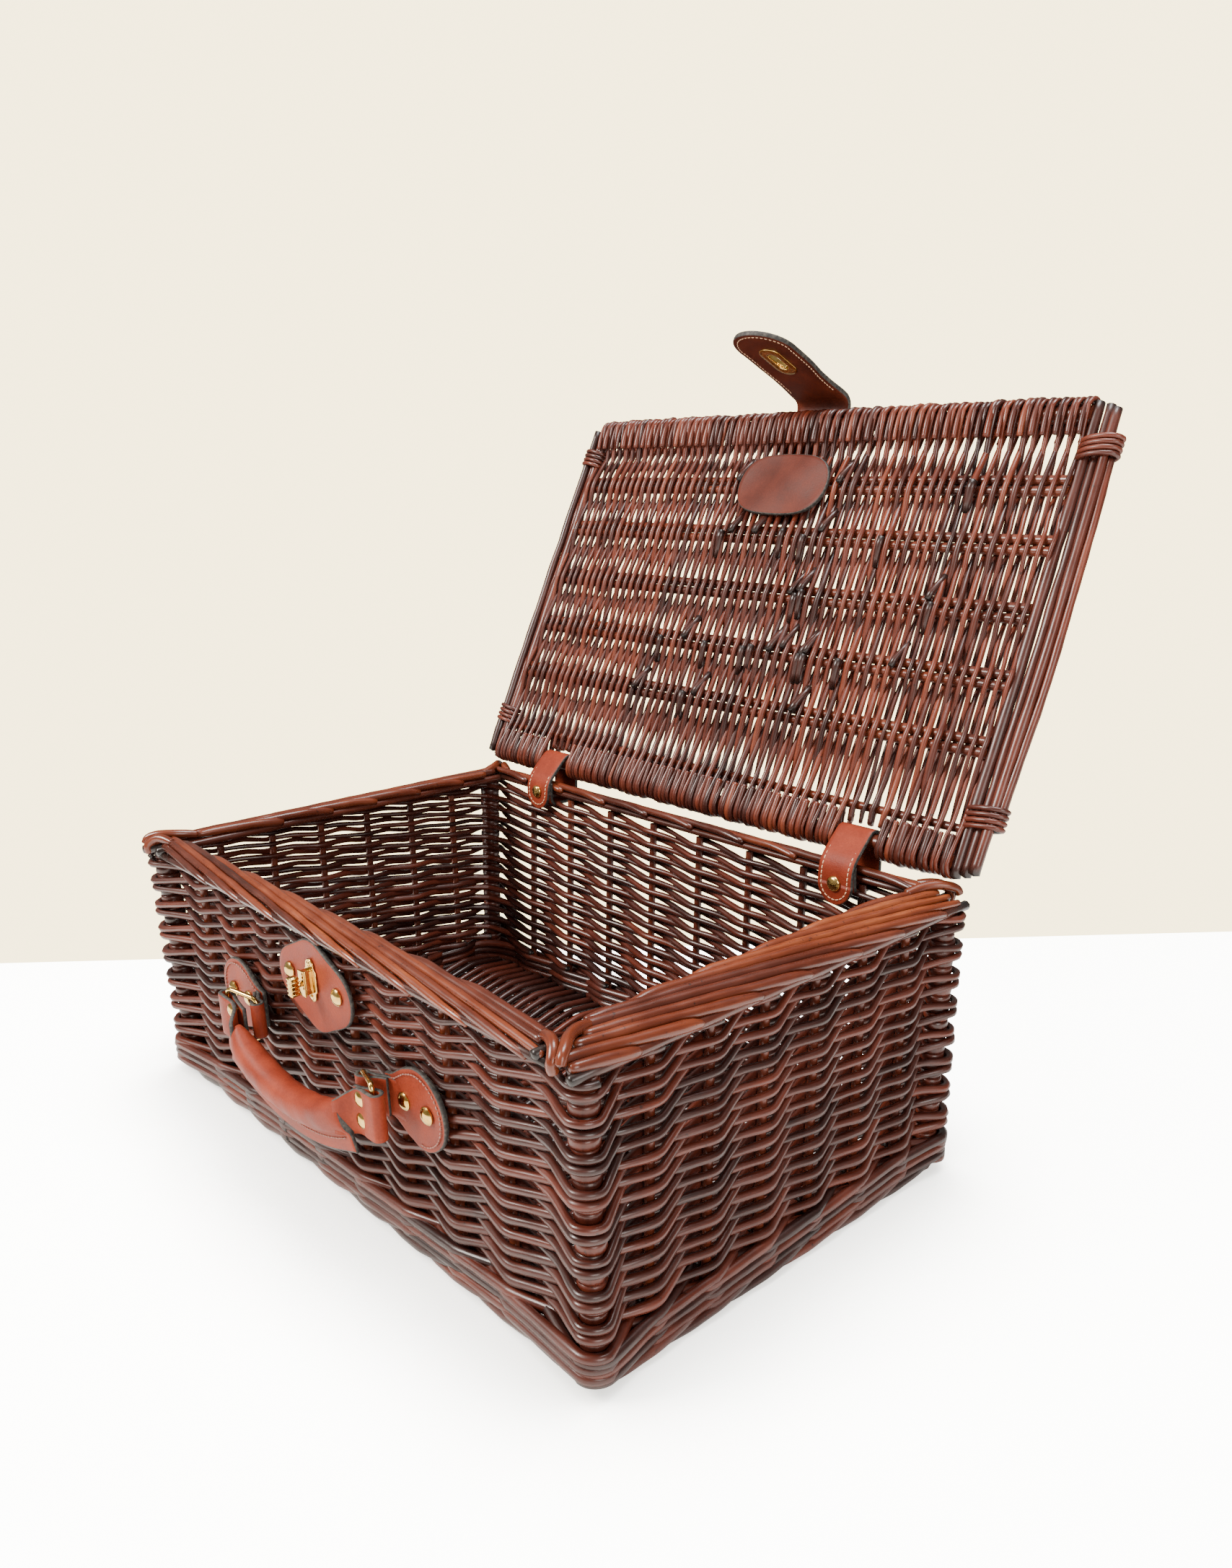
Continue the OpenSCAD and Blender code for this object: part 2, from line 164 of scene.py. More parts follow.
def makeTubes(name, rods, sides=7):
    # rods are round lengths of willow or wire: a path, a radius, a tint, and cut ends
    verts, faces, uvs, tints, darks = [], [], [], [], []
    count = 0
    turn = np.arange(sides) * 2 * math.pi / sides
    for rod in rods:
        p = np.array(rod["path"], float) * mm
        n = len(p)
        closed = rod.get("closed", False)
        if closed:
            t = np.roll(p, -1, 0) - np.roll(p, 1, 0)
        else:
            t = np.gradient(p, axis=0)
        t /= np.linalg.norm(t, axis=1)[:, None] + 1e-12
        side = np.cross(t[0], [0.13, 0.21, 0.97])
        if np.linalg.norm(side) < 0.2:
            side = np.cross(t[0], [0.9, 0.1, 0.3])
        sidesOf = np.empty((n, 3))
        for i in range(n):
            side = side - t[i] * np.dot(side, t[i])
            side = side / np.linalg.norm(side)
            sidesOf[i] = side
        other = np.cross(t, sidesOf)
        r = np.ones(n) * np.array(rod["r"], float) * mm
        run = pathRun(p)
        if rod.get("natural", True):
            r = r * (1 + 0.05 * np.sin(run * 140 + rod["tint"] * 40)
                     + 0.03 * np.sin(run * 333 + rod["tint"] * 90))
        ring = (p[:, None, :] + r[:, None, None]
                * (np.cos(turn)[None, :, None] * sidesOf[:, None, :]
                   + np.sin(turn)[None, :, None] * other[:, None, :]))
        verts.append(ring.reshape(-1, 3))
        tint = rod["tint"] + 0.05 * np.sin(run * 23 + rod["tint"] * 60)
        dark = np.zeros(n)
        if not closed and rod.get("cut", True):
            dark = np.maximum(np.exp(-run / 0.004), np.exp(-(run[-1] - run) / 0.004))
        tints.append(np.repeat(tint, sides))
        darks.append(np.repeat(dark, sides))
        last = n if closed else n - 1
        for i in range(last):
            k = (i + 1) % n
            v0, v1 = run[i], run[i] + np.linalg.norm(p[k] - p[i])
            for j in range(sides):
                m = (j + 1) % sides
                faces.append((count + i * sides + j, count + i * sides + m,
                              count + k * sides + m, count + k * sides + j))
                uvs.extend(((j / sides, v0), ((j + 1) / sides, v0),
                            ((j + 1) / sides, v1), (j / sides, v1)))
        count += n * sides
        if not closed:
            for end, base, way in ((0, count - n * sides, -1), (n - 1, count - sides, 1)):
                verts.append((p[end] + way * t[end] * r[end] * 0.35)[None, :])
                tints.append(np.array([tint[end]]))
                darks.append(np.array([dark[end]]))
                for j in range(sides):
                    m = (j + 1) % sides
                    pair = (m, j) if way < 0 else (j, m)
                    faces.append((base + pair[0], base + pair[1], count))
                    uvs.extend(((0.1, run[end]), (0.2, run[end]), (0.15, run[end])))
                count += 1
    mesh = bpy.data.meshes.new(name)
    mesh.from_pydata(np.vstack(verts).tolist(), [], faces)
    layer = mesh.uv_layers.new(name="along")
    layer.data.foreach_set("uv", np.array(uvs, np.float32).ravel())
    for label, values in (("tint", tints), ("cut", darks)):
        attribute = mesh.attributes.new(label, "FLOAT", "POINT")
        attribute.data.foreach_set("value", np.concatenate(values).astype(np.float32))
    mesh.update()
    return linkNew(name, mesh)


def metalRod(path, r):
    return {"path": path, "r": r, "natural": False, "cut": False, "tint": 0.5}


def ringFaces(rings, n, wrap=False):
    # quads between neighbouring rings of n points, and from the last back to the first if wrapped
    return [(k * n + j, k * n + (j + 1) % n, (k + 1) % rings * n + (j + 1) % n, (k + 1) % rings * n + j)
            for k in range(rings if wrap else rings - 1) for j in range(n)]


def endFaces(rings, n):
    return [tuple(reversed(range(n))), tuple(range((rings - 1) * n, rings * n))]


def meshPiece(name, verts, faces, slots=None):
    mesh = bpy.data.meshes.new(name)
    mesh.from_pydata([[c * mm for c in v] for v in verts], [], faces)
    if slots:
        mesh.polygons.foreach_set("material_index", slots)
    mesh.update()
    piece = linkNew(name, mesh)
    selectOnly(piece)
    bpy.ops.object.mode_set(mode="EDIT")
    bpy.ops.mesh.select_all(action="SELECT")
    bpy.ops.mesh.normals_make_consistent(inside=False)
    bpy.ops.object.mode_set(mode="OBJECT")
    return piece


def makePlate(name, outline, thick, place, roundEdge=0.6, puff=None, base=0.0, edgeSlot=1):
    # a cut leather shape: outline points round its middle, a thickness and a rounded edge
    pts = np.array(outline, float)
    n = len(pts)
    mid = pts.mean(0)
    away = pts - mid
    length = np.linalg.norm(away, axis=1)[:, None]
    top = base + thick
    levels = [(roundEdge, base), (0, base + roundEdge), (0, top - roundEdge),
              (roundEdge * 0.35, top - roundEdge * 0.3), (roundEdge, top)]
    rings = [np.column_stack([mid + away * (1 - inset / length), np.full(n, z)]) for inset, z in levels]
    for share in (0.93, 0.85, 0.7, 0.5, 0.28, 0.1):
        rings.append(np.column_stack([mid + away * (1 - roundEdge / length) * share, np.full(n, top)]))
    if puff:
        for ring in rings[2:]:
            ring[:, 2] += np.array([puff(x, y) for x, y in ring[:, :2]])
    verts = [place(*v) for ring in rings for v in ring]
    edgeRings = len(levels) - 1
    slots = [edgeSlot if k < edgeRings else 0 for k in range(len(rings) - 1) for _ in range(n)] + [0, 0]
    return meshPiece(name, verts, ringFaces(len(rings), n) + endFaces(len(rings), n), slots)


def makeStrap(name, path, widthAt, thick, place, sideSteps=10, centreAt=None):
    # a leather strap swept along a path of (reach, out) points, with its own width at each
    p = np.array(path, float)
    run = pathRun(p)
    t = np.gradient(p, axis=0)
    t /= np.linalg.norm(t, axis=1)[:, None]
    normal = np.column_stack([-t[:, 1], t[:, 0]])
    half = thick / 2
    section = [(-1, -half * 0.5)]
    section += [(-1 + 2 * i / sideSteps, -half) for i in range(0, sideSteps + 1)]
    section += [(1, -half * 0.5), (1, half * 0.5)]
    section += [(1 - 2 * i / sideSteps, half) for i in range(0, sideSteps + 1)]
    section += [(-1, half * 0.5)]
    inset = 0.45
    verts = []
    for i in range(len(p)):
        w = widthAt(run[i])
        c = centreAt(run[i]) if centreAt else 0.0
        for s, o in section:
            flatten = 1.0 if abs(o) < half * 0.9 else 1.0 - inset / max(w, 1.0)
            q = p[i] + normal[i] * o
            verts.append(place(c + s * w * flatten, q[0], q[1]))
    n = len(section)
    edges = (0, n - 1, sideSteps + 1, sideSteps + 2, sideSteps + 3, n - 2)
    slots = [1 if j in edges else 0 for _ in range(len(p) - 1) for j in range(n)] + [1, 1]
    return meshPiece(name, verts, ringFaces(len(p), n) + endFaces(len(p), n), slots)


def stitches(name, route, place, material, bodyName, r=0.28, long=2.1, gap=0.9):
    # short lengths of thread lying along a route of (x, y, out) points
    p = np.array(route, float)
    sink = 0.12
    total = pathRun(p)[-1]
    rods = []
    at = gap
    while at + long < total:
        shares, drops = (0, 0.18, 0.5, 0.82, 1), (0.35, 0, -0.06, 0, 0.35)
        points = pathAt(p, [at + share * long for share in shares])
        rods.append(metalRod([place(x, y, out - sink - drop) for (x, y, out), drop in zip(points, drops)], r))
        at += long + gap
    finishPiece(makeTubes(name, rods, sides=5), bodyName, material)


def srgb(hexColour):
    out = []
    for i in (0, 2, 4):
        c = int(hexColour[i:i + 2], 16) / 255
        out.append(c / 12.92 if c <= 0.04045 else ((c + 0.055) / 1.055) ** 2.4)
    return (*out, 1.0)


def addNode(tree, kind, sockets=None, links=None, **settings):
    node = tree.nodes.new(kind)
    for key, value in settings.items():
        setattr(node, key, value)
    for key, value in (sockets or {}).items():
        node.inputs[key].default_value = value
    for key, source in (links or {}).items():
        tree.links.new(source, node.inputs[key])
    return node


def newMaterial(name):
    material = bpy.data.materials.new(name)
    material.use_nodes = True
    tree = material.node_tree
    return material, tree, tree.nodes["Principled BSDF"]


def ramp(tree, source, stops):
    node = addNode(tree, "ShaderNodeValToRGB", links={"Fac": source})
    elements = node.color_ramp.elements
    while len(elements) < len(stops):
        elements.new(0.5)
    for element, (place, colour) in zip(elements, stops):
        element.position = place
        element.color = srgb(colour) if isinstance(colour, str) else (colour,) * 3 + (1,)
    return node.outputs["Color"]


def noise(tree, vector, scale, detail, **more):
    sockets = {"Scale": scale, "Detail": detail, **more}
    return addNode(tree, "ShaderNodeTexNoise", sockets, {"Vector": vector}).outputs["Fac"]


def combine(tree, operation, a, b):
    # a sum or product of two values, the second of which may be a number
    number = isinstance(b, float)
    return addNode(tree, "ShaderNodeMath", {1: b} if number else {}, {0: a} if number else {0: a, 1: b},
                   operation=operation).outputs[0]


def mixColour(tree, factor, a, b, blendType="MIX"):
    node = addNode(tree, "ShaderNodeMix", data_type="RGBA", blend_type=blendType)
    for key, value in ((0, factor), (6, a), (7, b)):
        if isinstance(value, (float, tuple)):
            node.inputs[key].default_value = value
        else:
            tree.links.new(value, node.inputs[key])
    return node.outputs[2]


def objectCoords(tree):
    return addNode(tree, "ShaderNodeTexCoord").outputs["Object"]


def bump(tree, height, strength, distance):
    return addNode(tree, "ShaderNodeBump", {"Strength": strength, "Distance": distance},
                   {"Height": height}).outputs["Normal"]


def setShader(tree, shader, links, values):
    for key, source in links.items():
        tree.links.new(source, shader.inputs[key])
    for key, value in values.items():
        shader.inputs[key].default_value = value


def willowMaterial(name, stops, rough=0.36, ownTint=True):
    # buff willow, steamed and stained, then brushed with satin varnish: the stain lies darker
    # in the grain and at cut ends, and the varnish gives a soft highlight along each rod
    material, tree, shader = newMaterial(name)
    coords = objectCoords(tree)
    if ownTint:
        along = addNode(tree, "ShaderNodeUVMap", uv_map="along").outputs["UV"]
        stretch = addNode(tree, "ShaderNodeMapping", {"Scale": (7.0, 34.0, 1.0)}, {"Vector": along})
        streak = noise(tree, stretch.outputs["Vector"], 1.0, 4.0, Roughness=0.6)
        tint = addNode(tree, "ShaderNodeAttribute", attribute_name="tint").outputs["Fac"]
    else:
        streak = noise(tree, coords, 160.0, 4.0)
        tint = noise(tree, coords, 14.0, 1.0)
    blotch = noise(tree, coords, 38.0, 3.0)
    level = combine(tree, "ADD", combine(tree, "MULTIPLY", streak, 0.55), combine(tree, "MULTIPLY", blotch, 0.35))
    level = combine(tree, "SUBTRACT", combine(tree, "ADD", level, tint), 0.45)
    specks = ramp(tree, noise(tree, coords, 420.0, 2.0), [(0.0, 0.0), (0.66, 0.0), (0.74, 0.7)])
    colour = mixColour(tree, specks, ramp(tree, level, stops), srgb("1d0e0a"))
    if ownTint:
        cut = addNode(tree, "ShaderNodeAttribute", attribute_name="cut").outputs["Fac"]
        colour = mixColour(tree, cut, colour, srgb("150c09"))
    gloss = ramp(tree, blotch, [(0.3, rough - 0.07), (0.7, rough + 0.12)])
    setShader(tree, shader, {"Base Color": colour, "Normal": bump(tree, streak, 0.22, 0.0006), "Roughness": gloss},
              {"Coat Weight": 0.16, "Specular IOR Level": 0.38, "Coat Roughness": 0.16})
    return material


def leatherMaterial(name, light, middle, dark):
    # bonded cowhide, plated smooth and dyed: even gloss, faint pebble and cloudy dye
    material, tree, shader = newMaterial(name)
    coords = objectCoords(tree)
    cloud = noise(tree, coords, 42.0, 3.0, Roughness=0.6)
    grain = ramp(tree, noise(tree, coords, 900.0, 3.0), [(0.3, "6b6b6b"), (0.7, "ffffff")])
    colour = ramp(tree, cloud, [(0.25, dark), (0.5, middle), (0.75, light)])
    colour = mixColour(tree, 0.22, colour, grain, "MULTIPLY")
    pebble = addNode(tree, "ShaderNodeTexVoronoi", {"Scale": 1100.0}, {"Vector": coords}).outputs["Distance"]
    gloss = ramp(tree, cloud, [(0.3, 0.42), (0.7, 0.54)])
    setShader(tree, shader, {"Base Color": colour, "Normal": bump(tree, pebble, 0.18, 0.0003), "Roughness": gloss},
              {"Specular IOR Level": 0.14})
    return material


def edgeMaterial(name):
    # the cut edge of two glued layers, painted grey and rubbed dark
    material, tree, shader = newMaterial(name)
    colour = ramp(tree, noise(tree, objectCoords(tree), 500.0, 4.0),
                  [(0.3, "0f0c0b"), (0.5, "2b2724"), (0.75, "4a463f")])
    setShader(tree, shader, {"Base Color": colour}, {"Roughness": 0.7})
    return material


def brassMaterial(name):
    # brass-plated steel, polished: yellow metal with small smears in the gloss
    material, tree, shader = newMaterial(name)
    smears = noise(tree, objectCoords(tree), 260.0, 3.0)
    setShader(tree, shader, {"Base Color": ramp(tree, smears, [(0.3, "c2984a"), (0.7, "e2c078")]),
                             "Roughness": ramp(tree, smears, [(0.3, 0.12), (0.7, 0.24)])}, {"Metallic": 1.0})
    return material


def threadMaterial(name, colour):
    # waxed polyester thread
    material, tree, shader = newMaterial(name)
    shades = ramp(tree, noise(tree, objectCoords(tree), 1500.0, 2.0), [(0.3, colour), (0.7, "ffffff")])
    setShader(tree, shader, {"Base Color": mixColour(tree, 0.12, srgb(colour), shades)}, {"Roughness": 0.6})
    return material


willow = willowMaterial("stainedWillow", [
    (0.0, "140604"), (0.25, "2b0f09"), (0.5, "481c11"), (0.7, "602818"), (0.88, "783821"), (1.0, "8f5034")])
# the rim's copy of the stained willow: the same stain as the walls, with lighter and more orange upper tones that
# are painted highlight for the light the rim's top catches
rimWillowPaintedHighlight = willowMaterial("stainedWillowRimPaintedHighlight", [
    (0.0, "180805"), (0.25, "32130b"), (0.5, "4f2012"), (0.72, "6c3018"), (0.9, "8a4725"), (1.0, "a6683c")], 0.3)
plainWillow = willowMaterial("stainedWillowSticks", [
    (0.0, "1d0a06"), (0.35, "401a10"), (0.6, "5c2818"), (1.0, "7a3c24")], 0.3, False)
leather = leatherMaterial("plateLeather", "8c3a25", "7b2f1d", "652417")
leatherEdge = edgeMaterial("leatherEdge")
brass = brassMaterial("polishedBrass")
creamThread = threadMaterial("creamThread", "d9a880")
brownThread = threadMaterial("brownThread", "7c3a22")
print("materials ready")


# ---------------------------------------------------------------- the uprights in plan

def uprights(z):
    # the 32 uprights at a height, counter-clockwise from the front left corner
    hd, hl = halfDepth(z), halfLength(z)
    inLong, inPole = walls["stakeIn"], walls["poleIn"]
    cx, cy = hl - inPole, hd - inPole
    out = []

    def corner(sx, sy, start):
        out.append({"at": (sx * cx, sy * cy), "corner": start})

    def stake(x, y, away, way):
        out.append({"at": (x, y), "away": away, "way": way})

    for s, start in ((-1, 180), (1, 0)):
        corner(s, s, start)
        for i in range(8):
            stake(-s * (i - 3.5) * walls["stakeGapLong"], s * (hd - inLong), (0, s), (-s, 0))
        corner(-s, s, start + 90)
        for i in range(6):
            stake(-s * (hl - inLong), -s * (i - 2.5) * walls["stakeGapShort"], (-s, 0), (0, -s))
    return out


def passUpright(s, z, outside, r, hug=3.0, cornerLift=0.0):
    # the points of one rod as it passes upright s at height z
    up = uprights(z)[s % 32]
    x, y = up["at"]
    if "corner" in up:
        middle = math.radians(up["corner"] + 45)
        if outside:
            reach = walls["poleR"] + r + 0.5
            turns = [up["corner"] + a for a in (-4, 22, 45, 68, 94)]
            return [(x + reach * math.cos(math.radians(a)), y + reach * math.sin(math.radians(a)),
                     z + cornerLift) for a in turns]
        reach = walls["poleR"] + r - 1.0
        return [(x - reach * math.cos(middle), y - reach * math.sin(middle), z)]
    ax, ay = up["away"]
    wx, wy = up["way"]
    d = (walls["stakeR"] + r) * (1 if outside else -1)
    return [(x + ax * d - wx * hug, y + ay * d - wy * hug, z),
            (x + ax * d + wx * hug, y + ay * d + wy * hug, z)]


def between(s, z):
    a, b = uprights(z)[s % 32]["at"], uprights(z)[(s + 1) % 32]["at"]
    return ((a[0] + b[0]) / 2, (a[1] + b[1]) / 2)


# ---------------------------------------------------------------- woven walls

weave = {
    "low": 26.0,        # height of the first pass
    "rise": 4.28,       # each rod climbs this much from one upright to the next
    "r": 2.3,
    "kink": 1.9,        # how far a rod dips where it crosses outside a stake
    "afterOut": 0.5,
    "afterIn": -0.3,
    "pairShift": 1.7,   # rods lie in pairs round the corners
    "cornerDip": 1.2,
}


def weaveWalls():
    rods = []
    for k in range(32):
        points = []
        r = weave["r"] + random.uniform(-0.3, 0.28)
        for j in range(32):
            z = weave["low"] + j * weave["rise"]
            outside = j % 2 == 1
            s = k + j
            isCorner = "corner" in uprights(z)[s % 32]
            wob = random.uniform(-0.45, 0.45)
            if isCorner and outside:
                shift = weave["pairShift"] if ((j - 1) // 2) % 2 == 0 else -weave["pairShift"]
                points += passUpright(s, z - weave["cornerDip"] + shift, True, r)
            else:
                dip = -weave["kink"] if outside else 0.5
                points += passUpright(s, z + dip + wob, outside, r)
            if j < 31:
                extra = weave["afterOut"] if outside else weave["afterIn"]
                x, y = between(s, z)
                middle = np.array((x, y, z + weave["rise"] / 2 + extra + random.uniform(-0.3, 0.3)))
                near = np.array(points[-1])
                points += [tuple(near + (middle - near) * 0.3), tuple(near + (middle - near) * 0.8)]
                arriving = middle + (middle - near) * 0.25 + np.array((0, 0, -0.25 if outside else 0.1))
                points.append(tuple(arriving))
        path = roundOff(points, 2)
        taper = np.linspace(1.1, 0.86, len(path))
        rods.append({"path": path, "r": r * taper, "tint": random.uniform(0.25, 0.6)})
    piece = makeTubes("wallWeave", rods, sides=6)
    finishPiece(piece, "basket", willow,
                ("wall_front", "wall_back", "wall_left", "wall_right"))


foot = {
    "halfLength": 220.0,
    "halfDepth": 137.5,
    "corner": 9.0,
    "rows": (10.5, 15.8, 21.2),
    "lifts": (-1.9, 0.3, 2.0),      # a rod over two stakes and behind one climbs this way
    "waleR": 2.75,
    "borderR": 3.0,
    "borderIn": 5.6,
    "borderZ": 5.85,
    "lay": 2.6,
    "turns": 11,
}


def weaveFoot():
    # three rows of three-rod wale, each rod over two stakes and behind one
    rods = []
    for row, height in enumerate(foot["rows"]):
        for k in range(3):
            points = []
            r = foot["waleR"] + random.uniform(-0.25, 0.25)
            for j in range(34):
                s = j + k + row
                z = height + foot["lifts"][j % 3] + random.uniform(-0.3, 0.3)
                outside = j % 3 != 2
                points += passUpright(s, z, outside, r, hug=3.5)
            rods.append({"path": roundOff(points, 2), "r": r, "tint": random.uniform(0.12, 0.55)})
    piece = makeTubes("footWale", rods, sides=7)
    finishPiece(piece, "basket", willow)


def footPath(inset, steps):
    # once round the foot as a rounded rectangle
    hx, hy, corner = foot["halfLength"] - inset, foot["halfDepth"] - inset, foot["corner"]
    pts = []
    for cx, cy, a0 in ((hx - corner, -hy + corner, -90), (hx - corner, hy - corner, 0),
                       (-hx + corner, hy - corner, 90), (-hx + corner, -hy + corner, 180)):
        pts += arcPoints(cx, cy, corner, a0, a0 + 90, 5)
    pts.append(pts[0])
    p = np.array(pts)
    return pathAt(p, np.linspace(0, pathRun(p)[-1], steps, endpoint=False))


def makeFootBorder():
    # a rolled border: three thick rods laid round each other
    steps = 330
    mid = footPath(foot["borderIn"], steps)
    along = np.roll(mid, -1, 0) - np.roll(mid, 1, 0)
    along /= np.linalg.norm(along, axis=1)[:, None]
    away = np.column_stack([along[:, 1], -along[:, 0]])
    rods = []
    for k in range(3):
        a = np.arange(steps) / steps * 2 * math.pi * foot["turns"] + k * 2 * math.pi / 3
        xy = mid + away * (np.cos(a) * foot["lay"])[:, None]
        z = foot["borderZ"] + np.sin(a) * foot["lay"]
        rods.append({"path": np.column_stack([xy, z]), "r": foot["borderR"], "closed": True,
                     "tint": 0.2 + 0.15 * k})
    piece = makeTubes("footBorder", rods, sides=8)
    finishPiece(piece, "basket", willow, ("foot_border",))


def makeCornerPoles():
    # each pole is packed with short wraps that show between the pairs of weavers
    rods = []
    for sx in (-1, 1):
        for sy in (-1, 1):
            z = 8.0
            while z < 158:
                height = random.uniform(4.4, 6.0)
                r = walls["poleR"] + random.uniform(-0.25, 0.55)
                x = sx * (halfLength(z) - walls["poleIn"])
                y = sy * (halfDepth(z) - walls["poleIn"])
                dx, dy = random.uniform(-0.3, 0.3), random.uniform(-0.3, 0.3)
                path = [(x + dx, y + dy, z + height * f) for f in (0, 0.08, 0.3, 0.7, 0.92, 1)]
                radii = [r * f for f in (0.86, 0.97, 1, 1, 0.97, 0.86)]
                rods.append({"path": path, "r": radii, "natural": False, "cut": False,
                             "tint": random.uniform(0.25, 0.6)})
                z += height
    piece = makeTubes("cornerPoles", rods, sides=16)
    names = ["corner_pole_" + c for c in ("fl", "fr", "bl", "br")]
    finishPiece(piece, "basket", willow, names)


base = {"sticks": (-96, -48, 0, 48, 96), "halfLength": 203.0, "halfDepth": 127, "pitch": 5.1, "r": 2.6}


def weaveBase():
    rods = []
    x = -base["halfLength"]
    n = 0
    while x < base["halfLength"] + 0.5:
        r = base["r"] + random.uniform(-0.18, 0.18)
        side = 1 if n % 2 == 0 else -1
        points = [(x, -base["halfDepth"], 8 + side * 2)]
        for i, y in enumerate(base["sticks"]):
            over = side * (1 if i % 2 == 0 else -1)
            z = 8.2 + over * (3.0 + r * 0.85)
            for d in (-5, 5):
                points.append((x + random.uniform(-0.3, 0.3), y + d, z))
        points.append((x, base["halfDepth"], 8 + side * 2))
        rods.append({"path": roundOff(points, 1), "r": r, "tint": random.uniform(0.1, 0.6)})
        x += base["pitch"]
        n += 1
    piece = makeTubes("baseWeave", rods, sides=7)
    finishPiece(piece, "basket", willow, ("base_panel",))


weaveWalls()
weaveFoot()
makeFootBorder()
makeCornerPoles()
weaveBase()
print("walls and base woven")


# ---------------------------------------------------------------- rim

rim = {
    "top": 172.0,
    "longInner": 129.6, "longOuter": 148.2, "longR": 2.4, "longStrands": 4,
    "shortInner": 191.0, "shortOuter": 223.0, "shortR": 2.85, "shortStrands": 5,
    "longDrop": 8.0, "shortDrop": 6.4,
    "longEnd": 203.0, "shortEnd": 147.5, "mitre": 17,
}


def rimStrands(start, end, pitch, strands, inner, outer, r, drop, place, tints, mitre=0):
    # each stake is laid down in turn and travels along the rim from its inner to its outer edge
    rods = []
    span = pitch * strands
    first = int(math.floor((start - span) / pitch)) - 1
    last = int(math.ceil(end / pitch)) + 1
    for i in range(first, last):
        a = i * pitch + random.uniform(-2, 2)
        rr = r * random.uniform(0.93, 1.08)
        points = []
        for f in np.linspace(0, 1, 15):
            q = a + f * span
            across = inner + r + (outer - inner - 2 * r) * f ** 1.1
            hold = mitre if across < inner + 15 else 0
            if q < start + hold or q > end - hold:
                continue
            z = rim["top"] - r - drop * f ** 1.7 - 0.6 * (1 - f) + random.uniform(-0.15, 0.15)
            points.append(place(q, across + random.uniform(-0.25, 0.25), z))
        if len(points) < 3:
            continue
        if a - 20 > start + mitre:
            points.insert(0, place(a - 18, inner + r - 0.6, rim["top"] - r - 3.4))
        if a + span + 10 < end:
            points.append(place(a + span + 9, outer - r - 1.6, rim["top"] - r - drop - 2.8))
        path = roundOff(points, 1)
        taper = np.interp(np.linspace(0, 1, len(path)), (0, 0.06, 0.8, 1), (0.82, 1.05, 0.98, 0.72))
        rods.append({"path": path, "cut": False, "r": rr * taper, "tint": random.uniform(*tints)})
    # the core under the strands
    for across, low in ((inner + r + 1, 6.0), ((inner + outer) / 2, 6.4), (outer - r - 2.2, 9.2)):
        points = [place(q, across, rim["top"] - r - low) for q in np.linspace(start + 1, end - 1, 12)]
        rods.append({"path": points, "r": r * 0.95, "tint": tints[0]})
    return rods


def makeRim():
    sides = {
        "rimFront": ("rim_front", "long", lambda q, a, z: (q, -a, z), (0.3, 0.7), 0),
        "rimRight": ("rim_right", "short", lambda q, a, z: (a, q, z), (0.4, 0.8), rim["mitre"]),
        "rimBack": ("rim_back", "long", lambda q, a, z: (-q, a, z), (0.3, 0.7), 0),
        "rimLeft": ("rim_left", "short", lambda q, a, z: (-a, -q, z), (0.4, 0.8), rim["mitre"]),
    }
    for name, (node, run, place, tints, mitre) in sides.items():
        end = rim[run + "End"]
        rods = rimStrands(-end, end, walls["stakeGap" + run.capitalize()], rim[run + "Strands"], rim[run + "Inner"],
                          rim[run + "Outer"], rim[run + "R"], rim[run + "Drop"], place, tints, mitre)
        piece = makeTubes(name, rods, sides=9)
        finishPiece(piece, "basket", rimWillowPaintedHighlight, (node,))


def makeCornerTies():
    # at each corner two rod ends fold over the border and tuck in
    rods = []
    for sx, sy in ((1, -1), (1, 1), (-1, 1), (-1, -1)):
        for route in (((192, 137.5, 168.4), (199, 140, 170.2), (204.5, 143.2, 170.0), (207.6, 146.4, 166.4),
                       (208.0, 147.6, 163.4), (207.6, 146.4, 160.6)),
                      ((198, 118, 168.8), (200.5, 128, 170.6), (205, 136, 171.4), (210, 141.5, 170.6),
                       (212.6, 145.6, 168.8), (213.2, 146.8, 165.6))):
            rods.append({"path": roundOff([(sx * x, sy * y, z) for x, y, z in route], 2), "r": 2.75,
                         "tint": 0.62, "cut": False})
    piece = makeTubes("cornerTies", rods, sides=9)
    finishPiece(piece, "basket", rimWillowPaintedHighlight)


makeRim()
makeCornerTies()
print("rim laid")


# ---------------------------------------------------------------- lid

lid = {
    "reach": 272.0,
    "half": 209.0,
    "weavers": 114,
    "r": 1.76,
    "pairs": (68.0, 108.0, 148.6, 190.3, 227.5),
    "thinStick": 19.5,
    "hingeR": 5.0,
    "frontR": 5.0,
    "kink": 2.5,
    "notch": 15.3,
    "sideRight": (213.0, 219.0, 225.0, 229.0),
    "sideLeft": (212.2, 216.4, 220.6, 214.4),
    "sideLow": (-8.0, -6.0, -4.0, 22.0),
    "sideHigh": (7, 6, 2, -26),
    "sideOut": (0.0, 1.6, -1.8, 0.6),
    "sideR": (3.5, 3.2, 3.1, 2.5),
}


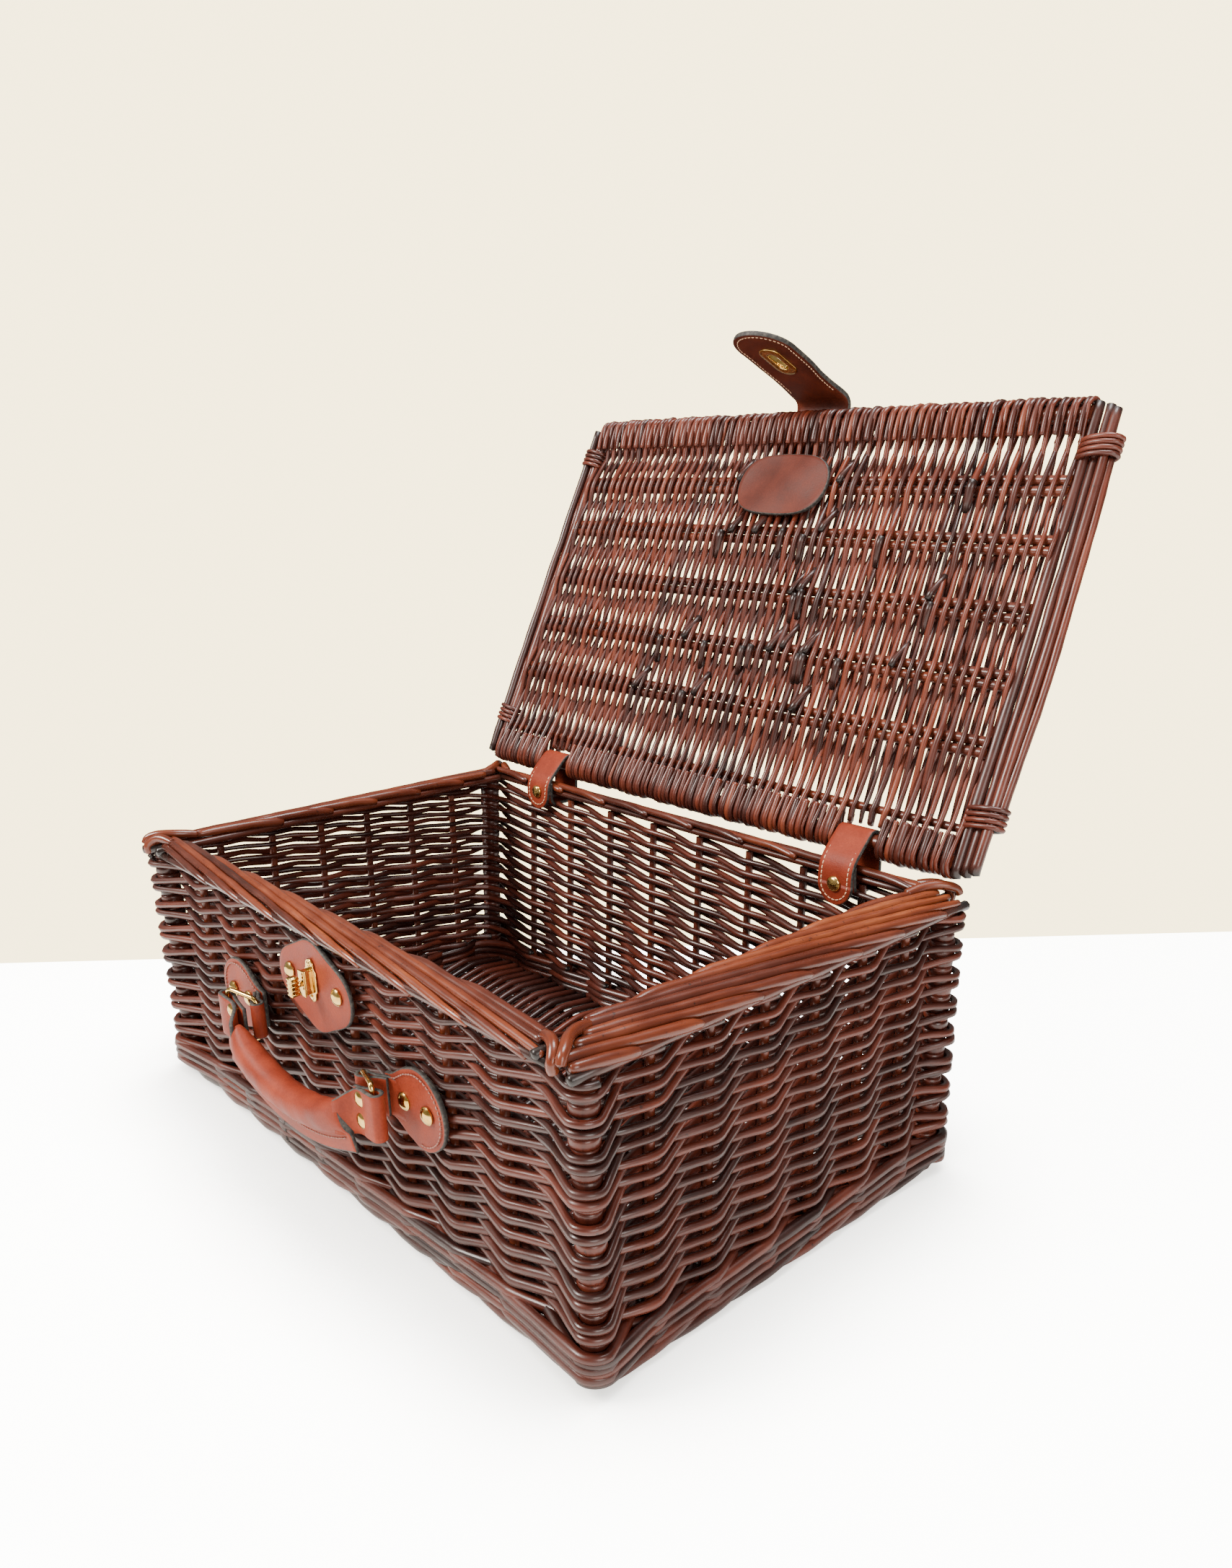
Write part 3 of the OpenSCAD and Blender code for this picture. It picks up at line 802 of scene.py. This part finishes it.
def lidWeaver(x, side, r, notched):
    # the rod loops the hinge rod, crosses every pair and loops the front rod; side 1 starts outside
    points = []
    wrap = lid["hingeR"] + r

    def put(dx, reach, out):
        points.append(inLid(x + dx, reach, out))

    if notched:
        put(0.3, 9.6, side * 3.0)
    else:
        put(1.6, 14.5, -side * (5.4 + r))
        put(1.4, 6, -side * (wrap + 0.5))
        for turn in (0, 35, 70, 110, 145, 180):
            t = math.radians(turn)
            put(1.2 - turn / 150, -1.0 - (wrap + 0.9) * math.sin(t), -side * (wrap + 0.5) * math.cos(t))
    stops = [lid["thinStick"]] + list(lid["pairs"])
    for i, reach in enumerate(stops):
        over = side * (1 if i % 2 == 0 else -1)
        thin = i == 0
        stick = 2.6 if thin else 3.1
        away = over * (stick + r * 0.95)
        spread = 1.6 if thin else 4.4
        kink = (lid["kink"] if over < 0 else -lid["kink"]) * (0.4 if thin else 1.0)
        jitter = random.uniform(-0.55, 0.55)
        put(kink + jitter - 0.5, reach - spread, away)
        put(kink + jitter + 0.5, reach + spread, away)
        if i < len(stops) - 1:
            nextReach = stops[i + 1]
            put(-0.2 * kink, reach + (nextReach - reach) * 0.5, 0.0)
    last = side * (1 if len(stops) % 2 == 0 else -1)
    wrap = lid["frontR"] + r + 0.5
    front = lid["reach"]
    for turn in (0, 35, 70, 110, 145, 180):
        t = math.radians(turn)
        put(-0.4 + turn / 110, front + 1.2 + (wrap + 1.2) * math.sin(t), last * wrap * math.cos(t))
    put(1.5, front - 8, -last * (wrap - 0.3))
    put(1.7, front - 15, -last * (wrap - 1.6))
    return points


def weaveLid():
    rods = []
    for i in range(lid["weavers"]):
        x = -lid["half"] + 2 * lid["half"] * i / (lid["weavers"] - 1)
        x += random.uniform(-0.35, 0.35)
        notched = min(abs(x - c) for c in hinge["strapX"]) < lid["notch"]
        r = lid["r"] * random.uniform(0.78, 1.24)
        side = 1 if i % 2 == 0 else -1
        path = roundOff(lidWeaver(x, side, r, notched), 1)
        lean = np.linspace(0, 1, len(path))
        taper = 1.1 - 0.22 * lean if random.random() < 0.5 else 0.88 + 0.22 * lean
        rods.append({"path": path, "cut": False, "r": r * taper, "tint": random.uniform(0.3, 0.75)})
    # cut butts where a new rod was joined in, most of them lying against the pairs
    for _ in range(34):
        reach = random.choice(lid["pairs"]) + random.uniform(-2, 2)
        x = random.gauss(60, 80)
        if abs(x) > 195:
            continue
        way = random.choice((-1, 1))
        steps = ((0, 0, -7.4), (0.8, 5, -6.6), (2.2, 12, -3.6), (3, 18, -0.5))
        rods.append({"path": [inLid(x + way * dx, reach + way * dy, out) for dx, dy, out in steps],
                     "r": random.uniform(2.0, 2.7), "tint": 0.35})
    piece = makeTubes("lidWeave", rods, sides=6)
    finishPiece(piece, "lid", willow, ("lid_panel",))


def makeLidSides():
    for s, name, node in ((-1, "lidSideLeft", "lid_side_rods_left"), (1, "lidSideRight", "lid_side_rods_right")):
        rods = []
        for k, x in enumerate(lid["sideLeft"] if s < 0 else lid["sideRight"]):
            points = []
            low = lid["sideLow"][k]
            high = lid["reach"] + lid["sideHigh"][k]
            for f in np.linspace(0, 1, 13):
                reach = low + (high - low) * f
                bow = (2.2 if s > 0 else 0.8) * math.sin(math.pi * f) * (0.3 + 0.35 * k)
                points.append(inLid(s * (x - 1.5 + bow + random.uniform(-0.35, 0.35)), reach,
                                    lid["sideOut"][k] + random.uniform(-0.4, 0.4)))
            path = roundOff(points, 1)
            rods.append({"path": path, "r": lid["sideR"][k] * np.linspace(1.05, 0.92, len(path)),
                         "tint": random.uniform(0.2, 0.6)})
        piece = makeTubes(name, rods, sides=9)
        finishPiece(piece, "lid", willow, (node,))


def makeLidBindings():
    rods = []
    for s in (-1, 1):
        for reach in (28, 250):
            for turn in range(4):
                ring = []
                middle, half = (214.6, 9.6) if s < 0 else (219.8, 11.6)
                for i in range(26):
                    a = 2 * math.pi * i / 26
                    along = reach - 5.4 + 3.5 * turn + 1.2 * math.cos(a) + random.uniform(-0.1, 0.1)
                    ring.append(inLid(s * (middle + half * math.cos(a)), along, 6.2 * math.sin(a)))
                rods.append({"path": ring, "r": 1.55, "closed": True, "tint": random.uniform(0.4, 0.7)})
    piece = makeTubes("lidBindings", rods, sides=8)
    finishPiece(piece, "lid", willow, ("lid_bindings",))


weaveLid()
makeLidSides()
makeLidBindings()
print("lid woven")


# ---------------------------------------------------------------- hinge straps

strap = {"thick": 2.6, "loopR": 6.4, "rivetUp": 13.0, "seam": 3.0}


def makeHingeStraps():
    caps = []
    for centre, low, name, node in ((hinge["strapX"][0], 150.6, "hingeStrapLeft", "hinge_strap_left"),
                                    (hinge["strapX"][1], 146.6, "hingeStrapRight", "hinge_strap_right")):
        # the loop over the hinge rod, with one end inside the basket and one behind the rim
        path = [(125.4, low), (125.2, low + 6), (125.3, 163), (126.0, 169), (128.6, 174.4), (133.0, 179.0)]
        for a in (130, 105, 80, 55, 30, 0):
            t = math.radians(a)
            path.append((hinge["y"] + strap["loopR"] * math.cos(t), hinge["z"] + strap["loopR"] * math.sin(t)))
        path += [(153.0, 176), (153.0, 166), (152.6, 158.5), (150.5, 155.2), (146, 154.8), (136, 154.8),
                 (130.5, 155.0), (128.4, 157.5), (128.2, 164), (128.2, 171)]
        p = softPath(path, 1)
        half = hinge["strapWidth"] / 2

        def widthAt(run):
            if run < half:
                return max(0.5, math.sqrt(max(0.0, half ** 2 - (half - run) ** 2)))
            return half

        # finer steps near the rounded end
        at = np.unique(np.concatenate([half * (1 - np.cos(np.linspace(0, math.pi / 2, 12))),
                                       np.linspace(half, pathRun(p)[-1], 90)]))
        piece = makeStrap(name, pathAt(p, at), widthAt, strap["thick"],
                          lambda x, y, z, c=centre: (c + x, y, z))
        finishPiece(piece, "basket", [leather, leatherEdge], (node,))

        # stitches round the inside end
        inset = strap["seam"]
        upper = (187.0, 183.5, 179.0, 174.4, 169.0, 165.0)
        outline = [(centre - half + inset, z) for z in upper]
        outline += [(centre + (half - inset) * math.cos(t), low + half + (half - inset) * math.sin(t))
                    for t in np.linspace(math.pi, 2 * math.pi, 24)]
        outline += [(centre + half - inset, z) for z in reversed(upper)]
        faceZ = (140, 163, 169, 174.4, 179.0, 183.5, 187.0)
        faceY = (123.9, 123.9, 124.7, 127.4, 131.8, 136.7, 141.4)
        stitches(name + "Stitches", [(x, z, 0) for x, z in outline],
                 lambda x, z, out: (x, float(np.interp(z, faceZ, faceY)) - out - 0.25, z),
                 creamThread, "basket", r=0.36, long=1.9, gap=1.0)
        z = low + strap["rivetUp"]
        caps.append(metalRod([(centre, y, z) for y in (128, 123.9, 123.0, 122.3, 121.7, 121.4)],
                             [4.4, 4.7, 4.7, 4.0, 2.6, 1.2]))
    piece = makeTubes("hingeRivets", caps, 24)
    finishPiece(piece, "basket", brass, ("hinge_rivets",))


makeHingeStraps()
print("hinge straps sewn")


# ---------------------------------------------------------------- latch

latch = {"z": 133.0, "ribs": 5}


def latchOutline():
    # an oval with two ears, blended by concave curves
    top = []
    for i in range(73):
        x = 38.5 * math.cos(math.pi * i / 72)
        ear = 17.0 * math.sqrt(max(0.0, 1 - (max(0.0, abs(x) - 21.5) / 17.0) ** 2))
        bulge = 27.0 - 17.0
        middle = bulge * (0.5 + 0.5 * math.cos(math.pi * min(abs(x), 31.0) / 31.0))
        top.append((x, ear * (1 + middle / 17.0)))
    bottom = [(x, -y) for x, y in reversed(top[1:-1])]
    return [(x, y - 2.0) for x, y in top + bottom]


def makeLatch():
    place = onFront(latch["z"])
    piece = makePlate("latchPlate", latchOutline(), 3.0, place, 0.8,
                      lambda x, y: -0.3 + 0.3 * math.sin(x * 0.12))
    finishPiece(piece, "basket", [leather, leatherEdge], ("latch_plate",))

    # brass base: two ears, a stamped rim and a collar
    ears = arcPoints(0, 10.8, 3.9, 0, 180, 14) + [(-4.2, 9.0), (-5.7, 7.8), (-5.7, -3.8), (-4.2, -5.0)]
    ears += arcPoints(0, -6.8, 3.9, 180, 360, 14) + [(4.2, -5.0), (5.7, -3.8), (5.7, 7.8), (4.2, 9.0)]
    piece = makePlate("latchBase", ears, 1.3, place, 0.45, None, 3.0, 0)
    finishPiece(piece, "basket", brass, ("latch_base",))
    bolts = [metalRod([place(0, up, out) for out in (4.1, 4.7, 5.0)], [1.8, 1.5, 0.8]) for up in (11.9, -7.9)]
    finishPiece(makeTubes("latchBolts", bolts, 12), "basket", brass)
    for name, centre, size, radius in (("latchCollar", (0, 2.0, 6.4), (5.2, 14.0, 5.0), 0.8),
                                       ("latchLip", (0, 2.0, 9.15), (6.2, 15.0, 1.0), 0.4)):
        finishPiece(roundedBlock(name, place, centre, size, radius), "basket", brass)

    # turning knob: a ribbed bar on a pin
    bar = roundedBlock("latchKnob", place, (0, 2.0, 14.5), (3.8, 11.3, 5.1), 1.2)
    parts = [bar]
    for i in range(latch["ribs"]):
        up = 2.0 + (i - 2) * 2.3
        parts.append(roundedBlock("rib%d" % i, place, (0, up, 14.4), (5.3, 1.5, 5.3), 0.62))
    parts.append(makeTubes("pin", [metalRod([place(0, 2, 8.6), place(0, 2, 12.6)], 1.6)], 14))
    selectOnly(bar)
    for one in parts:
        one.select_set(True)
    bpy.ops.object.join()
    finishPiece(bar, "latch_knob", brass, ("latch_knob",))


def roundedBlock(name, place, centre, size, radius):
    # a block with rolled edges, set on the wall
    bpy.ops.mesh.primitive_cube_add(size=1, location=(0, 0, 0))
    block = bpy.context.object
    block.name = name
    block.scale = size
    bpy.ops.object.transform_apply(location=False, rotation=False, scale=True)
    bevel = block.modifiers.new("roll", "BEVEL")
    bevel.width = radius
    bevel.segments = 4
    bpy.ops.object.modifier_apply(modifier=bevel.name)
    for v in block.data.vertices:
        x, up, out = v.co
        v.co = Vector(place(x + centre[0], up + centre[1], out + centre[2])) * mm
    # the wall frame keeps the block's handedness, so its faces stay outward
    return block


makeLatch()
print("latch fitted")


# ---------------------------------------------------------------- carrying handle

handle = {
    "z": 94.0, "innerX": 58.0, "outerX": 80.0, "innerOut": 10.5, "outerOut": 18.0,
    "wireR": 1.4, "mountX": 97.0, "mountR": 22.0, "seam": 3.2,
    "gripR": 8.7, "gripSag": 14.0, "gripHalf": 60.0, "gripOut": 24.0, "gripUp": -7.0,
}


def makeMounts():
    place = onFront(handle["z"])
    for s, name in ((-1, "mountLeft"), (1, "mountRight")):
        tag = "left" if s < 0 else "right"
        # pear-shaped plate, drawn round its middle
        outline = arcPoints(handle["mountX"], 1.5, handle["mountR"], -112, 112, 44)
        outline += [(84.0, 20.2), (79.0, 17.0), (74.5, 13.8), (70.5, 11.9), (66.5, 11.2)]
        outline += [(66.5, 5), (66.5, -5), (66.5, -11.2)]
        outline += [(70.5, -11.9), (74.5, -13.0), (79.0, -15.2), (84.0, -17.8)]
        piece = makePlate(name + "Plate", outline, 3.2,
                          lambda x, up, out, s=s: place(s * x, up, out), 0.7,
                          lambda x, y: -0.35 + 0.3 * math.sin(x * 0.16 + y * 0.1))
        finishPiece(piece, "basket", [leather, leatherEdge], ("handle_mount_" + tag,))
        route = []
        for x, y in outline[4:50]:
            v = Vector((x - 92, y - 1.5))
            v *= 1 - handle["seam"] / v.length
            route.append((92 + v.x, 1.5 + v.y, 3.3))
        stitches(name + "Stitches", route, lambda x, up, out, s=s: place(s * x, up, out + 0.15),
                 brownThread, "basket", r=0.42, long=1.6, gap=1.1)

        # the neck: out of the plate, round the ring's inner leg and back
        cx, co = handle["innerX"], handle["innerOut"]
        ring = 3.0
        path = [(84, 1.7), (76, 2.0), (70, 3.4), (66, 6.0), (62, 7.4)]
        for a in (-70, -100, -140, -180, -220, -255, -285, -300):
            t = math.radians(a)
            path.append((cx + ring * math.cos(t), co + ring * math.sin(t)))
        path += [(62.2, 11.6), (65.0, 9.4), (68.5, 6.6), (72.5, 4.9)]
        piece = makeStrap(name + "Neck", softPath(path, 2), lambda run: 10.9, 2.2,
                          lambda w, x, out, s=s: place(s * x, w, out))
        finishPiece(piece, None, [leather, leatherEdge], ("mount_loop_" + tag,))
        Vector(place(s * 73.0, 0, 5)) * mm
        Vector(place(s * 64.0, 0, 5)) * mm
        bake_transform(piece)


def makeRings():
    place = onFront(handle["z"])
    for s, name in ((-1, "ringLeft"), (1, "ringRight")):
        corners = [(58, -12.5, 10.5), (58, 12.5, 10.5), (80, 15.5, 18), (80, -15.5, 18)]
        ring = []
        for i in range(4):
            before, here, after = (np.array(corners[(i + k) % 4], float) for k in (-1, 0, 1))
            a = here + (before - here) / np.linalg.norm(before - here) * 4.6
            b = here + (after - here) / np.linalg.norm(after - here) * 4.6
            for f in np.linspace(0, 1, 7):
                ring.append((1 - f) ** 2 * a + 2 * f * (1 - f) * here + f ** 2 * b)
            nextHere = np.array(corners[(i + 1) % 4], float)
            far = nextHere + (here - nextHere) / np.linalg.norm(here - nextHere) * 4.6
            for f in (0.25, 0.5, 0.75):
                ring.append(b + (far - b) * f)
        path = [place(s * q[0], q[1], q[2]) for q in ring]
        piece = makeTubes(name, [{"path": path, "r": handle["wireR"], "closed": True, "natural": False,
                                  "tint": 0.5}], 14)
        finishPiece(piece, "hangers", brass, ("ring_left" if s < 0 else "ring_right",))


def makeTabs():
    place = onFront(handle["z"])
    for s, name in ((-1, "tabLeft"), (1, "tabRight")):
        tag = "left" if s < 0 else "right"
        cx, co = handle["outerX"], handle["outerOut"]
        # front layer from the grip, over the ring's outer leg, and back behind
        path = [(57.0, 28.0), (59.5, 27.0), (62.5, 23.8), (66, 20.4), (72, 19.5), (78, 20.9)]
        for a in (70, 40, 10, -20, -50, -80, -110):
            t = math.radians(a)
            path.append((cx + 3.0 + 3.1 * math.cos(t), co + 3.1 * math.sin(t)))
        path += [(78, 15.2), (72, 16.6), (66, 17.0), (61.5, 17.2)]

        def centreAt(run):
            # the tab slants down towards the grip
            return float(np.interp(run, (0, 6, 14, 26, 40, 62), (-7.5, -5.6, -2.8, -0.8, -0.8, -5.6)))

        def widthAt(run):
            return float(np.interp(run, (0, 6, 14, 26, 42, 56, 62), (9.6, 11.6, 13.0, 13.1, 13.1, 13.0, 13.4)))

        piece = makeStrap(name, softPath(path, 2), widthAt, 2.3, lambda w, x, out, s=s: place(s * x, w, out),
                          centreAt=centreAt)
        finishPiece(piece, None, [leather, leatherEdge], ("tab_loop_" + tag, "handle_tab_" + tag))
        Vector(place(s * 79.0, 0, 18)) * mm
        Vector(place(s * 66.0, 0, 18)) * mm
        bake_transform(piece)


def gripPoint(angle, across, out):
    # a point beside the grip's hanging arc: across grows towards its convex lower edge
    big = (handle["gripHalf"] ** 2 + handle["gripSag"] ** 2) / (2 * handle["gripSag"])
    centreUp = big + handle["gripUp"] - handle["gripSag"]
    r = big + across
    a = math.radians(angle)
    return onFront(handle["z"])(r * math.sin(a), centreUp - r * math.cos(a), handle["gripOut"] + out)


def makeGrip():
    big = (handle["gripHalf"] ** 2 + handle["gripSag"] ** 2) / (2 * handle["gripSag"])
    halfAngle = math.degrees(math.asin(handle["gripHalf"] / big))
    gripR = handle["gripR"]
    # round padded tube with a sewn flange along its lower edge
    section = []
    for a in np.linspace(28, 332, 26):
        t = math.radians(a)
        section.append((gripR * math.cos(t), gripR * math.sin(t)))
    for across, out in ((8.6, -2.7), (10.5, -1.9), (14.0, -1.75), (17.2, -1.7), (18.0, -1.2), (18.0, 1.2),
                        (17.2, 1.7), (14.0, 1.75), (10.5, 1.9), (8.6, 2.7)):
        section.append((across, out))
    edge = {29, 30, 31}     # the flange's outer rim
    steps = 56
    verts = []
    for i in range(steps + 1):
        angle = -halfAngle * 1.02 + 2.04 * halfAngle * i / steps
        end = abs(2 * i / steps - 1)
        flat = 1.0 - 0.5 * end ** 7
        wide = 1.0 + 0.12 * end ** 7
        for k, (across, out) in enumerate(section):
            wave = 0.12 * math.sin(i * 0.9 + k * 0.6) if k < 26 else 0.0
            verts.append(gripPoint(angle, (across + wave) * wide, (out + wave) * flat))
    n = len(section)
    faces = ringFaces(steps + 1, n) + endFaces(steps + 1, n)
    slots = [1 if j in edge else 0 for _ in range(steps) for j in range(n)] + [1, 1]
    piece = meshPiece("gripPad", verts, faces, slots)
    finishPiece(piece, "handle", [leather, leatherEdge], ("handle_grip", "handle_core"))
    route = [(a, 11.3, 1.95) for a in np.linspace(-halfAngle * 0.97, halfAngle * 0.97, 60)]
    scale = math.radians(1) * big
    stitches("gripStitches", [(a * scale, across, out) for a, across, out in route],
             lambda x, across, out: gripPoint(x / scale, across, out + 0.1), brownThread, "handle",
             r=0.42, long=1.5, gap=1.2)


makeMounts()
makeRings()
makeTabs()
makeGrip()
print("handle sewn")


# ---------------------------------------------------------------- clasp

clasp = {"thick": 3.2, "eyelet": -48.0, "tip": 26.0}


def makeClaspPatch():
    outline = []
    for i in range(96):
        a = 2 * math.pi * i / 96
        c, s = math.cos(a), math.sin(a)
        x = 39.0 * math.copysign(abs(c) ** 0.86, c)
        y = 23.5 * math.copysign(abs(s) ** 0.9, s)
        outline.append((x, y + 1.2 * math.sin(a * 3)))
    piece = makePlate("claspPatch", outline, 3.0, lambda x, y, out: inLid(x + 1, 225 + y, -5.5 - out), 0.7,
                      lambda x, y: 0.9 * math.sin(x * 0.09 + 0.6) * math.cos(y * 0.11 - 0.4) + 0.4)
    finishPiece(piece, "lid", [suede, leatherEdge], ("clasp_patch",))


def claspWidth(run, total):
    # narrow neck, wider head and a round tip
    tip = clasp["tip"]
    if run > total - tip:
        f = (run - (total - tip)) / tip
        return float(max(0.6, 23.0 * math.sqrt(max(0.0, 1 - f ** 2.3))))
    if run < 6:
        return float(20.5 * (0.75 + 0.25 * run / 6))
    return float(np.interp(run, (0, 60, 86, 104, 116, 128, 142, total),
                           (20.5, 21.0, 23.0, 22.8, 21.6, 21.4, 22.6, 23.0)))


def claspPlane(n):
    # the tongue hangs straight past the rim and curls in at its tip
    return float(np.interp(n, (-90, -84, -77, -70, -62, -48, -35, -25, 10),
                           (294.2, 294.6, 295.3, 295.9, 296.4, 296.8, 296.8, 296.5, 296.5)))


def makeClaspStrap():
    path = [(202, 7.3), (230, 7.3), (250, 7.4), (258, 9.2), (264, 10.8), (284, 10.9), (288.3, 10.8)]
    for a in (75, 60, 45, 30, 15, 0):
        t = math.radians(a)
        path.append((288.3 + 8.2 * math.cos(t), 2.6 + 8.2 * math.sin(t)))
    path += [(claspPlane(n), n) for n in (-8, -20, -28, -36, -48, -60, -70, -78, -85)]
    p = softPath(path, 2)
    total = pathRun(p)[-1]
    tip = clasp["tip"]
    at = np.unique(np.concatenate([np.linspace(0, total - tip, 70),
                                   total - tip + tip * np.sin(np.linspace(0, math.pi / 2, 20))]))
    piece = makeStrap("claspStrap", pathAt(p, at), lambda run: claspWidth(run, total), clasp["thick"],
                      inLid, sideSteps=14)
    # the slot for the eyelet
    slotPts = arcPoints(0, clasp["eyelet"] - 8.0, 5.6, 180, 360, 12)
    slotPts += arcPoints(0, clasp["eyelet"] + 8.0, 5.6, 0, 180, 12)
    n = len(slotPts)
    verts = [inLid(x, claspPlane(out) + d, out) for d in (-8, 8) for x, out in slotPts]
    cutter = meshPiece("slotCutter", verts, ringFaces(2, n) + endFaces(2, n))
    cut = piece.modifiers.new("slot", "BOOLEAN")
    cut.operation = "DIFFERENCE"
    cut.object = cutter
    cut.solver = "EXACT"
    selectOnly(piece)
    bpy.ops.object.modifier_apply(modifier=cut.name)
    bpy.data.objects.remove(cutter)
    finishPiece(piece, None, [strapLeather, leatherEdge], ("clasp_base", "clasp_strap"))
    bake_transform(piece)

    # a line of stitches inside the edge of the tongue
    side = []
    for n in np.linspace(-6, -60, 19):
        out = 105.5 - n
        side.append((claspWidth(out, 900) - 3.2, n))
    head = [(19.9 * math.cos(t), -61 - 21.0 * math.sin(t)) for t in np.linspace(0.1, math.pi - 0.1, 26)]
    outline = side + head + [(-x, n) for x, n in reversed(side)]
    stitches("claspStitches", [(x, n, 0) for x, n in outline],
             lambda x, n, out: inLid(x, claspPlane(n) - clasp["thick"] / 2 - 0.3 - out, n),
             creamThread, "clasp", r=0.3, long=1.8, gap=1.2)

    # brass eyelet pressed into the slot: a flat oval flange each side and a rolled lip
    def oval(length, radius, steps=14):
        half = length / 2 - radius
        return arcPoints(0, -half, radius, 180, 360, steps) + arcPoints(0, half, radius, 0, 180, steps)

    levels = ((8.2, 33.6, -1.7), (8.3, 33.8, -2.1), (7.9, 33.0, -2.45), (6.0, 29.2, -2.6), (4.6, 21.4, -2.75),
              (3.9, 19.4, -2.4), (3.7, 19.0, -1.6), (3.7, 19.0, 1.6), (3.9, 19.4, 2.4), (4.6, 21.4, 2.75),
              (6.0, 29.2, 2.6), (7.9, 33.0, 2.45), (8.3, 33.8, 2.1), (8.2, 33.6, 1.7))
    rings = [[(x, clasp["eyelet"] + y, d) for x, y in oval(length, radius)] for radius, length, d in levels]
    n = len(rings[0])
    verts = [inLid(x, claspPlane(y) + d, y) for ring in rings for x, y, d in ring]
    piece = meshPiece("claspEyelet", verts, ringFaces(len(rings), n, True))
    finishPiece(piece, "clasp", brass, ("clasp_eyelet",))


suede = leatherMaterial("suedeSideLeather", "5f2a1d", "512015", "3f170e")
strapLeather = leatherMaterial("darkLeather", "5e2818", "4c1e12", "3a150c")
makeClaspPatch()
makeClaspStrap()
print("clasp sewn")


# ---------------------------------------------------------------- CAD pieces that stay

def dressFrame():
    wood = ["base_sticks", "stakes_front", "stakes_back", "stakes_left", "stakes_right",
            "lid_front_rod", "lid_hinge_rod", "lid_hinge_stick"]
    wood += ["lid_stick_pair_%d" % i for i in range(1, 6)]
    metal = ["latch_rivets", "mount_rivets_left", "mount_rivets_right",
             "tab_rivets_left", "tab_rivets_right", "clasp_rivets"]
    for names, material in ((wood, plainWillow), (metal, brass)):
        for name in names:
            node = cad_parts[name]
            node.data.materials.clear()
            node.data.materials.append(material)


dressFrame()


# ---------------------------------------------------------------- floor, light and camera

board = {"size": 5, "place": (1.450, -1.735, -0.0004), "turn": 49.6, "glow": 11.0}
lamps = {
    "softKey": {"place": (-0.9, -1.5, 1.7), "size": 0.8, "energy": 120, "colour": "fff8f0"},
    "softFill": {"place": (1.9, -0.7, 1.0), "size": 1.0, "energy": 34, "colour": "fffaf4"},
    "softTop": {"place": (0.2, 0.3, 2.2), "size": 0.9, "energy": 66, "colour": "ffffff"},
}


def makeStage():
    bpy.ops.mesh.primitive_plane_add(size=board["size"], location=board["place"],
                                     rotation=(0, 0, math.radians(board["turn"])))
    floor = bpy.context.object
    floor.name = "tableTop"
    # painted board: it looks white to the camera, but lights the rods only softly
    material, tree, shader = newMaterial("matteBoard")
    ray = addNode(tree, "ShaderNodeLightPath").outputs["Is Camera Ray"]
    glow = combine(tree, "MULTIPLY", ramp(tree, ray, [(0.0, 0.09), (1.0, 1.0)]), board["glow"])
    # a soft shadow close round the foot
    near = addNode(tree, "ShaderNodeAmbientOcclusion", {"Distance": 0.11}, samples=12).outputs["AO"]
    shade = ramp(tree, near, [(0.3, 0.12), (0.62, 0.3), (0.95, 1.0)])
    setShader(tree, shader, {"Emission Strength": combine(tree, "MULTIPLY", glow, shade)},
              {"Base Color": srgb("f4f3ee"), "Roughness": 0.6, "Emission Color": srgb("fdfcf6")})
    floor.data.materials.append(material)

    world = bpy.data.worlds.new("studio")
    bpy.context.scene.world = world
    world.use_nodes = True
    tree = world.node_tree
    lit = tree.nodes["Background"]
    lit.inputs["Color"].default_value = srgb("f5f2ea")
    lit.inputs["Strength"].default_value = 0.36
    seen = addNode(tree, "ShaderNodeBackground", {"Color": srgb("fae8b4"), "Strength": 5.8})
    ray = addNode(tree, "ShaderNodeLightPath").outputs["Is Camera Ray"]
    both = addNode(tree, "ShaderNodeMixShader", links={0: ray, 1: lit.outputs[0], 2: seen.outputs[0]})
    tree.links.new(both.outputs[0], tree.nodes["World Output"].inputs["Surface"])

    for name, one in lamps.items():
        lamp = bpy.data.lights.new(name, "AREA")
        lamp.size = one["size"]
        lamp.energy = one["energy"]
        lamp.color = srgb(one["colour"])[:3]
        placed = linkNew(name, lamp)
        placed.location = one["place"]
        aim = Vector((0, 0, 0.15)) - Vector(one["place"])
        placed.rotation_euler = aim.to_track_quat("-Z", "Y").to_euler()


view = {"place": (559.5, -429.6, 399.4), "azimuth": 47.69, "down": 14.56, "roll": -0.013, "lens": 27.72}


def makeCamera():
    az, el = math.radians(view["azimuth"]), math.radians(view["down"])
    forward = Vector((-math.sin(az) * math.cos(el), math.cos(az) * math.cos(el), -math.sin(el)))
    right = Vector((math.cos(az), math.sin(az), 0))
    up = right.cross(forward)
    c, s = math.cos(view["roll"]), math.sin(view["roll"])
    turnedRight, turnedUp = right * c + up * s, up * c - right * s
    data = bpy.data.cameras.new("camera")
    data.lens = view["lens"]
    data.sensor_width = 36
    data.clip_start = 0.01
    camera = linkNew("camera", data)
    spin = Matrix((turnedRight, turnedUp, -forward)).transposed().to_4x4()
    camera.matrix_world = Matrix.Translation(Vector(view["place"]) * mm) @ spin
    bpy.context.scene.camera = camera


makeStage()
makeCamera()
print("stage and camera set")

bpy.context.view_layer.update()
